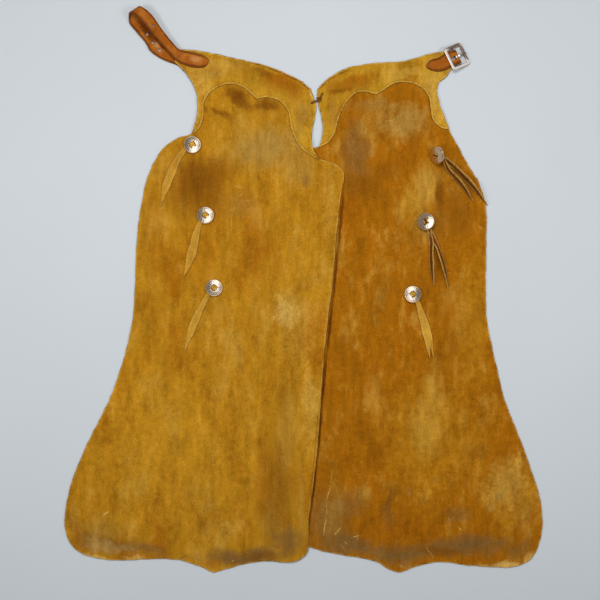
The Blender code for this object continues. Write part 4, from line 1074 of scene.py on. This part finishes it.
def stitches(name, places, finish, radius=None):
    """A row of thread stitches as one joined mesh: places are (point, way ahead, up)."""
    radius = radius or STITCH["radius"]
    verts, faces = [], []
    sides = STITCH["sides"]
    for point, ahead, up in places:
        ahead, up = np.asarray(ahead, float), np.asarray(up, float)
        side = np.cross(up, ahead)
        start = len(verts)
        for share, width, lift in STITCH_RINGS:
            centre = point + ahead * share * STITCH["length"] / 2 + up * lift
            for k in range(sides):
                angle = k * math.tau / sides
                verts.append(centre + (side * math.cos(angle) + up * math.sin(angle)) * radius * width)
        rings = len(STITCH_RINGS)
        for ring in range(rings - 1):
            for k in range(sides):
                a, b = start + ring * sides + k, start + ring * sides + (k + 1) % sides
                faces.append((a, b, b + sides, a + sides))
        faces.append(tuple(start + k for k in range(sides))[::-1])
        faces.append(tuple(start + (rings - 1) * sides + k for k in range(sides)))
    return add_piece(name, verts, outward(verts, faces), [finish])


def yoke_stitches(side, tree, finish):
    """The seam that holds a yoke to its leg, just inside the scalloped edge."""
    runs = YOKE_RUNS[side]
    inward = 1 if side == "left" else -1
    places = []
    for part in ("outer_lobe", "inner_lobe"):
        line = smooth_run(runs[part], 2.0)
        way = np.gradient(line, axis=0)
        way /= np.linalg.norm(way, axis=1)[:, None]
        line = line + np.stack([-way[:, 1], way[:, 0]], axis=1) * EDGE["stitch_inset"] * inward
        for place, ahead in walk(line[3:-3], STITCH["pitch"]):
            height = top_at(tree, place[0], place[1])
            if height is not None:
                places.append((np.array([*place, height + 0.05]), (*ahead, 0.0), (0.0, 0.0, 1.0)))
    return stitches(f"{side}_yoke_stitches", places, finish, 0.36)


# Billet strap and chape

def strap_stitches(name, first, second, thickness, rows, finish, upright):
    """Stitches round the sewn end of a strap, a little inside its edge."""
    rings, _, normal = strap_points(first, second, thickness, "strap")
    half = len(rings[0]) // 2
    line, ups = [], []
    for k in rows:
        ring = np.array(rings[k])
        flip = normal[k][2] * upright > 0
        face = ring[:half] if flip else ring[half:][::-1]
        line.append((face[4], face[half - 5]))
    left = [pair[0] for pair in line]
    right = [pair[1] for pair in line]
    path = left + right[::-1]
    places = [(point, ahead, (0.0, 0.0, 1.0)) for point, ahead in walk(path, 3.4)]
    return stitches(name, places, finish, 0.4)


def billet_strap(finish, hole_finish, thread):
    rows = smooth_run(BILLET["rows"], 3.0)
    first, second = rows[:, :3], rows[:, 3:]
    verts, faces, wear = band(first, second, STRAP_LEATHER, "strap")
    made = add_piece("billet_strap_leather", verts, faces, [finish], ("billet_strap",),
                     attributes={"edge_wear": wear})
    table = np.array(BILLET["rows"], float)
    holes = []
    for number, at in enumerate(BILLET["hole_rows"]):
        base, share = int(at), at - int(at)
        row = table[base] * (1 - share) + table[base + 1] * share
        run = table[base + 1] - table[base]
        normal = Vector(row[3:] - row[:3]).cross(Vector((run[:3] + run[3:]) / 2))
        holes.append(round_cutter(f"hole_{number + 1}", (row[:3] + row[3:]) / 2, normal,
                                  BILLET["hole_diameter"] / 2, BILLET["hole_depth"], hole_finish))
    carve(made, holes)
    sewn = [k for k, row in enumerate(rows) if -226 < (row[0] + row[3]) / 2 < -184]
    strap_stitches("billet_strap_stitches", first, second, STRAP_LEATHER, sewn[::-1], thread, 1)
    return made


def chape_edges(step):
    """Both edge lines of the strap end: on the yoke, round the bar and back under it."""
    heading = math.radians(BAR["heading_deg"])
    ahead = np.array([math.cos(heading), math.sin(heading), 0.0])
    side = np.array([-math.sin(heading), math.cos(heading), 0.0])
    bar = np.array([BAR["x"], BAR["y"], BAR["z"]])
    turn = BAR["radius"] + GAP + CHAPE["leather"] / 2
    rows = [(ux, uy, z, lx, ly, z) for ux, uy, lx, ly, z in CHAPE["on_yoke"]]
    for k in range(9):
        angle = math.radians(90 - 22.5 * k)
        middle = bar + ahead * turn * math.cos(angle) + np.array([0, 0, turn * math.sin(angle)])
        rows.append((*(middle + side * CHAPE["half_width"]), *(middle - side * CHAPE["half_width"])))
    for back in CHAPE["under_yoke"]:
        middle = bar - ahead * back - np.array([0, 0, turn])
        half = CHAPE["half_width"] - CHAPE["narrowing"] * back
        rows.append((*(middle + side * half), *(middle - side * half)))
    rows = smooth_run(rows, step)
    return rows[:, :3], rows[:, 3:], ahead, side, bar


def buckle_chape(finish, thread):
    first, second, ahead, side, bar = chape_edges(1.6)
    verts, faces, wear = band(first, second, CHAPE["leather"], "strap")
    made = add_piece("buckle_chape_leather", verts, faces, [finish], ("buckle_chape",),
                     attributes={"edge_wear": wear})
    length = CHAPE["slot_back"] + CHAPE["slot_ahead"]
    shape = bmesh.new()
    bmesh.ops.create_cube(shape, size=1.0)
    bmesh.ops.scale(shape, vec=(length, CHAPE["slot_width"], CHAPE["slot_top"]), verts=shape.verts)
    turn = Matrix((ahead, side, (0, 0, 1))).transposed().to_4x4()
    centre = Vector(bar + ahead * (CHAPE["slot_ahead"] - length / 2))
    carve(made, [cutter("chape_slot", shape, Matrix.Translation(centre) @ turn)])
    sewn = [k for k in range(len(first)) if 229 < (first[k][0] + second[k][0]) / 2 < 256 and first[k][2] > 5]
    strap_stitches("buckle_chape_stitches", first, second, CHAPE["leather"], sewn[::-1], thread, 1)
    return made


# Conchos and ties

RELIEF = {
    "rope_from": 14.9, "rope_turns": 36, "rope_height": 0.05, "groove_at": 13.9, "groove_width": 0.7,
    "petals": 10, "petal_from": 7.0, "petal_to": 13.0, "petal_height": 0.11, "ring_at": 6.2,
}
CONCHO_RINGS = 34
CONCHO_SEGMENTS = 120


def concho_matrix(name, top):
    """Where a concho lies: its rim just above the leg, tilted as its tie lifts it."""
    x, y, _, tilt, towards = TIES[name]
    direction = math.radians(towards)
    axis = Vector((-math.sin(direction), math.cos(direction), 0))
    rim = top + GAP + CONCHO["radius"] * math.sin(math.radians(tilt))
    return Matrix.Translation(Vector((x, y, rim))) @ Matrix.Rotation(math.radians(tilt), 4, axis)


def dome(radius):
    return CONCHO["height"] * (1 - (radius / CONCHO["radius"]) ** 2)


def cap(radius):
    """The outer face of a concho: a shallow crown that turns down steeply at its rim."""
    share = radius / CONCHO["radius"]
    crown = CONCHO["height"] * (1 - 0.46 * share)
    return crown * min(1.0, ((1 - share) / 0.09)) ** 0.5 if share > 0.91 else crown


def engraving(radius, angle):
    """The height of a plain scalloped ornament: a rope edge, a groove and a ring of petals."""
    r = RELIEF
    height = 0.0
    if radius > r["rope_from"] and radius < CONCHO["radius"] - 0.3:
        height += r["rope_height"] * math.cos(r["rope_turns"] * angle + 2.4 * (radius - r["rope_from"]))
    for at in (r["groove_at"], r["ring_at"]):
        height -= 0.10 * math.exp(-((radius - at) / (r["groove_width"] / 2)) ** 2)
    if r["petal_from"] < radius < r["petal_to"]:
        share = (radius - r["petal_from"]) / (r["petal_to"] - r["petal_from"])
        swell = math.sin(math.pi * share) ** 0.6
        turn = abs(math.sin(r["petals"] / 2 * angle + 0.5 * share))
        height += r["petal_height"] * swell * (turn ** 0.5 - 0.45)
        height -= 0.09 * math.exp(-((turn - 1.0) / 0.02) ** 2) * swell
    return height


def concho(name, matrix, finish):
    """A domed and engraved disc with two slots for its tie."""
    outer, metal_wall = CONCHO["radius"], CONCHO["metal"]
    radii = [outer * (k / CONCHO_RINGS) for k in range(1, CONCHO_RINGS + 1)]
    inner_radii = [outer - metal_wall, 13.0, 9.5, 5.0]
    segments = CONCHO_SEGMENTS
    local, recess = [Vector((0, 0, dome(0) + metal_wall))], [0.0]
    for r in radii:
        last = r == radii[-1]
        for k in range(segments):
            angle = k * math.tau / segments
            relief = 0.0 if last else engraving(r, angle)
            z = metal_wall * 0.55 if last else cap(r) + metal_wall + relief
            local.append(Vector((r * math.cos(angle), r * math.sin(angle), z)))
            recess.append(min(1.0, max(0.0, -relief * 5.0)))
    for r in [outer] + inner_radii:
        for k in range(segments):
            angle = k * math.tau / segments
            z = 0.0 if r >= outer - metal_wall else dome(r)
            local.append(Vector((r * math.cos(angle), r * math.sin(angle), z)))
            recess.append(0.6)
    local.append(Vector((0, 0, dome(0))))
    recess.append(0.6)
    faces = [(0, 1 + k, 1 + (k + 1) % segments) for k in range(segments)]
    rings = len(radii) + 1 + len(inner_radii)
    for ring in range(rings - 1):
        base = 1 + ring * segments
        for k in range(segments):
            j = (k + 1) % segments
            faces.append((base + k, base + segments + k, base + segments + j, base + j))
    base = 1 + (rings - 1) * segments
    faces += [(base + k, len(local) - 1, base + (k + 1) % segments) for k in range(segments)]
    verts = [matrix @ v for v in local]
    made = add_piece("concho_" + name + "_disc", verts, outward(verts, faces), [finish], ("concho_" + name,),
                     attributes={"recess": recess})
    thread = Matrix.Rotation(math.radians(TIES[name][2]), 4, "Z")
    slots = []
    for number, sign in enumerate((1, -1)):
        shape = bmesh.new()
        bmesh.ops.create_cube(shape, size=1.0)
        size = (CONCHO["slot_width"], CONCHO["slot_length"], CONCHO["slot_depth"])
        bmesh.ops.scale(shape, vec=size, verts=shape.verts)
        place = matrix @ thread @ Matrix.Translation(Vector((sign * CONCHO["slot_offset"], 0, 3)))
        slots.append(cutter(f"slot_{name}_{number + 1}", shape, place))
    return carve(made, slots)


def staple_path():
    """The tie's way through both slots, as places along the thread and heights in the concho's frame."""
    at, turn, low = CONCHO["slot_offset"], THREAD["turn_radius"], THREAD["below_slot"]
    high = CONCHO["height"] + CONCHO["metal"] + GAP + THONG_LEATHER / 2
    path = [(THREAD["root"], low), (-at + turn, low)]
    corners = (
        (-at + turn, low + turn, -90, -180), (-at + turn, high - turn, 180, 90),
        (at - turn, high - turn, 90, 0), (at + turn, low + turn, 180, 270),
    )
    for x, z, start, end in corners:
        for step in range(6):
            angle = math.radians(start + (end - start) * step / 5)
            path.append((x + turn * math.cos(angle), z + turn * math.sin(angle)))
    return path


def smooth_share(share):
    share = min(max(share, 0.0), 1.0)
    return share * share * (3 - 2 * share)


def tail_rows(tail, tree, lead):
    """Both edges of a tail, from its lead-in points to its tip, lying on the leg."""
    root_x, root_y, tip_x, tip_y, bow, half_width, roll = tail
    root, tip = np.array([root_x, root_y], float), np.array([tip_x, tip_y], float)
    run = tip - root
    length = np.linalg.norm(run)
    left = np.array([-run[1], run[0]]) / length
    lean = math.radians(roll * 0.8)
    count = max(14, round(length / 3.5))
    first, second = list(lead[0]), list(lead[1])
    for k in range(3, count + 1):
        share = k / count
        middle = root + run * share + left * bow * math.sin(math.pi * share)
        width = half_width * (0.55 + 0.45 * math.sin(math.pi * min(share / 1.0, 0.5)))
        width *= 1 if share < 0.6 else max(0.08, 1 - (share - 0.6) / 0.4 * 0.92)
        width += 0.35 * math.sin(share * 21 + root_x)
        rise = smooth_share(share * 4) * math.sin(lean)
        spread = math.sqrt(1 - rise * rise)
        floor = top_near([tree], middle[0], middle[1], max(1.5, abs(width) * 0.8))
        height = floor + GAP + THONG_LEATHER / 2 + abs(width * rise) + 1.8 * math.sin(share * 7 + 0.4) ** 2
        edge = left * width * spread
        first.append((middle[0] + edge[0], middle[1] + edge[1], height + width * rise))
        second.append((middle[0] - edge[0], middle[1] - edge[1], height - width * rise))
    return even(first), even(second)


def even(line):
    """A line of points softened once, with its ends kept."""
    line = np.array([tuple(p) for p in line], float)
    line[1:-1] = (line[:-2] + 2 * line[1:-1] + line[2:]) / 4
    return line


def tie(name, matrix, tree, finish):
    """A suede tie: through the concho's slots, out under its rim and down the leg in one or two tails."""
    place = matrix @ Matrix.Rotation(math.radians(TIES[name][2]), 4, "Z")
    half = CONCHO["slot_length"] / 2 - THREAD["edge_room"]
    first, second = [], []
    for along, height in staple_path():
        first.append(place @ Vector((along, half, height)))
        second.append(place @ Vector((along, -half, height)))
    last = place @ Vector((CONCHO["slot_offset"] + THREAD["turn_radius"], 0, THREAD["below_slot"]))
    rim = place @ Vector((CONCHO["radius"] - THREAD["rim_inset"], 0, -GAP - THONG_LEATHER / 2))
    sideways = (place.to_3x3() @ Vector((0, 1, 0))).normalized()
    for share in (0.2, 0.4, 0.6, 0.8, 1.0):
        middle = last.lerp(rim, share)
        first.append(middle + sideways * half)
        second.append(middle - sideways * half)
    edges = tail_rows(TAILS[name][0], tree, (first, second))
    verts, faces, wear = band(*edges, THONG_LEATHER, "thong")
    made = add_piece("tie_" + name + "_thong", verts, faces, [finish], ("tie_" + name,),
                     attributes={"edge_wear": wear})
    for tail in TAILS[name][1:]:
        lifted = [[p + Vector((0, 0, TAIL_STEP)) for p in line[-4:]] for line in (first, second)]
        edges = tail_rows(tail, tree, lifted)
        verts, faces, wear = band(*edges, THONG_LEATHER, "thong")
        other = add_piece("tail_" + name, verts, faces, [finish], attributes={"edge_wear": wear})
        carve(made, [other], "UNION")
    return made


# Centre lace

LACE = {"radius": 1.6, "left_hole": (14, 346), "right_hole": (34, 364), "knot_place": (28, 353), "knot_size": 1.35}


def tube(points, radius, sides=10, closed=False):
    """A tube round a line of points."""
    points = [Vector(p) for p in points]
    verts, faces = [], []
    up = Vector((0, 0, 1))
    count = len(points)
    for k, point in enumerate(points):
        if closed:
            ahead = (points[(k + 1) % count] - points[k - 1]).normalized()
        else:
            ahead = (points[min(k + 1, count - 1)] - points[max(k - 1, 0)]).normalized()
        side = ahead.cross(up)
        side = side.normalized() if side.length > 0.05 else Vector((0, 1, 0))
        over = side.cross(ahead).normalized()
        for i in range(sides):
            angle = i * math.tau / sides
            verts.append(point + (side * math.cos(angle) + over * math.sin(angle)) * radius)
    for k in range(count if closed else count - 1):
        following = (k + 1) % count
        for i in range(sides):
            j = (i + 1) % sides
            faces.append((k * sides + i, k * sides + j, following * sides + j, following * sides + i))
    if not closed:
        faces.append(tuple(range(sides))[::-1])
        faces.append(tuple((count - 1) * sides + i for i in range(sides)))
    return verts, faces


def centre_lace(left_tree, right_tree, finish):
    """A thong through one hole in each yoke, with an overhand knot on the right one."""
    (left_x, left_y), (right_x, right_y) = LACE["left_hole"], LACE["right_hole"]
    knot_x, knot_y = LACE["knot_place"]
    above = GAP + LACE["radius"]
    left_top = top_near([left_tree], left_x, left_y, 6.0)
    right_top = top_near([right_tree], knot_x + 3, knot_y, 6.0)
    rows = [
        (left_x, left_y, left_top - 1.4), (left_x, left_y, left_top), (left_x + 0.8, left_y + 0.5, left_top + above - 0.4),
        (left_x + 3.5, left_y + 2.0, left_top + above), ((left_x + knot_x) / 2, (left_y + knot_y) / 2, right_top + above + 0.2),
        (knot_x, knot_y, right_top + above), ((knot_x + right_x) / 2, (knot_y + right_y) / 2, right_top + above),
        (right_x - 0.8, right_y - 1.6, right_top + above - 0.4), (right_x, right_y, right_top),
        (right_x, right_y, right_top - 1.4),
    ]
    verts, faces = tube(smooth_run(rows, 1.2), LACE["radius"])
    size = LACE["knot_size"]
    knot = []
    for k in range(60):
        t = k * math.tau / 60
        knot.append((
            knot_x + size * (math.sin(t) + 2 * math.sin(2 * t)), knot_y + size * (math.cos(t) - 2 * math.cos(2 * t)),
            right_top + GAP + LACE["radius"] + 1.4 - 1.3 * math.sin(3 * t),
        ))
    knot_verts, knot_faces = tube(knot, 1.35, 10, True)
    start = len(verts)
    verts += knot_verts
    faces += [tuple(i + start for i in face) for face in knot_faces]
    wear = [0.3] * len(verts)
    return add_piece("centre_lace_thong", verts, outward(verts, faces), [finish], ("centre_lace",),
                     attributes={"edge_wear": wear})


def punch(piece, place, radius=1.9):
    """A hole through a panel."""
    carve(piece, [round_cutter("punch", (place[0], place[1], 6.0), (0, 0, 1), radius, 30.0)])


# Stage: floor, lights and camera

CAMERA = {"x": -6.4, "y": -18.1, "height": 2400.0, "frame_width": 1110.0}
LIGHTS = {
    "columns": ("x", "y", "z", "size_x", "size_y", "watts", "in_gloss"),
    "top": (0.0, 0.82, 1.65, 0.50, 0.50, 13.4, False),
    "left": (-1.05, 0.0, 1.40, 0.45, 0.45, 8.9, False),
    "right": (1.05, 0.0, 1.40, 0.45, 0.45, 7.4, False),
    "middle": (0.02, 0.40, 1.90, 0.60, 1.20, 4.0, True),
    "low": (1.20, 1.07, 1.15, 0.40, 0.40, 0.42, True),
}
WORLD = {"soft": (0.93, 0.96, 1.0, 1.0), "room": (1.0, 0.84, 0.68, 1.0), "strength": 0.24, "ceiling": 0.20, "walls": 0.42}


def make_world():
    """Soft even room light; gloss sees a dim ceiling and paler warm walls."""
    world = bpy.data.worlds.new("soft_room")
    world.use_nodes = True
    tree = world.node_tree
    even_light = tree.nodes["Background"]
    even_light.inputs["Color"].default_value = WORLD["soft"]
    even_light.inputs["Strength"].default_value = WORLD["strength"]
    seen = tree.nodes.new("ShaderNodeBackground")
    seen.inputs["Color"].default_value = WORLD["room"]
    parts = tree.nodes.new("ShaderNodeSeparateXYZ")
    ramp = tree.nodes.new("ShaderNodeMapRange")
    ramp.interpolation_type = "SMOOTHSTEP"
    for socket, value in ("From Min", 0.35), ("From Max", 0.9), ("To Min", WORLD["walls"]), ("To Max", WORLD["ceiling"]):
        ramp.inputs[socket].default_value = value
    path, blend = tree.nodes.new("ShaderNodeLightPath"), tree.nodes.new("ShaderNodeMixShader")
    tree.links.new(tree.nodes.new("ShaderNodeTexCoord").outputs["Generated"], parts.inputs[0])
    tree.links.new(parts.outputs["Z"], ramp.inputs["Value"])
    tree.links.new(ramp.outputs[0], seen.inputs["Strength"])
    tree.links.new(path.outputs["Is Glossy Ray"], blend.inputs[0])
    tree.links.new(even_light.outputs[0], blend.inputs[1])
    tree.links.new(seen.outputs[0], blend.inputs[2])
    tree.links.new(blend.outputs[0], tree.nodes["World Output"].inputs["Surface"])
    bpy.context.scene.world = world


def make_stage():
    mesh = bpy.data.meshes.new("backdrop")
    half, level = 4.0, -0.0006
    mesh.from_pydata([(-half, -half, level), (half, -half, level), (half, half, level), (-half, half, level)], [],
                     [(0, 1, 2, 3)])
    floor = bpy.data.objects.new("backdrop", mesh)
    bpy.context.scene.collection.objects.link(floor)
    mesh.materials.append(backdrop_finish("backdrop_paper"))
    for name in ("top", "left", "right", "middle", "low"):
        x, y, z, size_x, size_y, watts, in_gloss = LIGHTS[name]
        data = bpy.data.lights.new(name, "AREA")
        data.shape = "RECTANGLE"
        data.size, data.size_y = size_x, size_y
        data.energy = watts
        lamp = bpy.data.objects.new(name, data)
        lamp.location = (x, y, z)
        lamp.visible_glossy = in_gloss
        lamp.rotation_euler = (-lamp.location).to_track_quat("-Z", "Y").to_euler()
        bpy.context.scene.collection.objects.link(lamp)
    make_world()
    bpy.context.scene.view_settings.view_transform = "Standard"


def make_camera():
    data = bpy.data.cameras.new("above")
    data.sensor_width = 36.0
    data.lens = data.sensor_width * CAMERA["height"] / CAMERA["frame_width"]
    camera = bpy.data.objects.new("above", data)
    camera.location = (CAMERA["x"] * MM, CAMERA["y"] * MM, CAMERA["height"] * MM)
    bpy.context.scene.collection.objects.link(camera)
    bpy.context.scene.camera = camera


# Ties that stand on edge: their dark suede is partly painted shade
EDGE_ON_TIES = ("right_1", "right_2")


make_camera()
make_stage()

# The panels' cut walls are dark: partly the edges' own colour, partly painted shade along the panel edges and yoke
# seams
edge_finish = raw_edge("cut_edge_and_shade", "cut")
left_finish = suede("left_leg_suede", "left_leg", "left_leg", 0.0)
right_finish = suede("right_leg_suede", "right_leg", "right_leg", 3.1)
yoke_finishes = {side: suede(side + "_yoke_suede", "yoke", side + "_yoke", 6.2 + k, 0.95) for k, side in enumerate(("left", "right"))}
tie_finish = suede("tie_suede", "tie", "ties", 9.4, 0.35, 0.5)
# The ties that stand on edge take a dark copy of the tie suede: partly the darker grain side, partly painted shade on
# faces turned away from the light
dark_tie_finish = suede("tie_grain_and_shade", "tie_dark", "ties", 8.1, 0.7, 0.1)
lace_finish = suede("lace_suede", "tie_dark", "ties", 5.4, 0.25, 0.2)
strap_finish = strap_leather("strap_leather", 1.3)
punched = raw_edge("punched_edge", "strap_worn")
brown_thread = thread_finish("brown_thread", "strap_dark")
tan_thread = thread_finish("tan_thread", "thread")
silver = metal("engraved_silver", "silver", 0.15, 0.18)
steel = metal("buckle_steel", "steel", 0.16, 0.15, DULLED)

right_leg, right_tree = shell(
    "right_leg", leg_outline("right"), LEG_GRID, [], [right_finish, edge_finish], 2.0)
left_leg, left_tree = shell(
    "left_leg", leg_outline("left"), LEG_GRID, [right_tree], [left_finish, edge_finish], 1.0)
right_yoke, right_yoke_tree = shell(
    "right_yoke", yoke_outline("right"), YOKE_GRID, [right_tree], [yoke_finishes["right"], edge_finish], 4.0)
left_yoke, left_yoke_tree = shell(
    "left_yoke", yoke_outline("left"), YOKE_GRID, [left_tree, right_tree], [yoke_finishes["left"], edge_finish],
    3.0)
punch(left_yoke, LACE["left_hole"])
punch(right_yoke, LACE["right_hole"])
seams = {
    "left": yoke_stitches("left", left_yoke_tree, tan_thread),
    "right": yoke_stitches("right", right_yoke_tree, tan_thread),
}
billet_strap(strap_finish, punched, brown_thread)
buckle_chape(strap_finish, brown_thread)
centre_lace(left_yoke_tree, right_yoke_tree, lace_finish)
for tie_name in TIES:
    if tie_name == "columns":
        continue
    leg_tree = left_tree if tie_name.startswith("left") else right_tree
    top = top_near([leg_tree], TIES[tie_name][0], TIES[tie_name][1], CONCHO["radius"] * 0.8)
    concho_place = concho_matrix(tie_name, top)
    concho(tie_name, concho_place, silver)
    tie(tie_name, concho_place, leg_tree, dark_tie_finish if tie_name in EDGE_ON_TIES else tie_finish)
for node_name in ("buckle_frame", "buckle_tongue"):
    node = NODES[node_name]
    node.data.materials.clear()
    node.data.materials.append(steel)
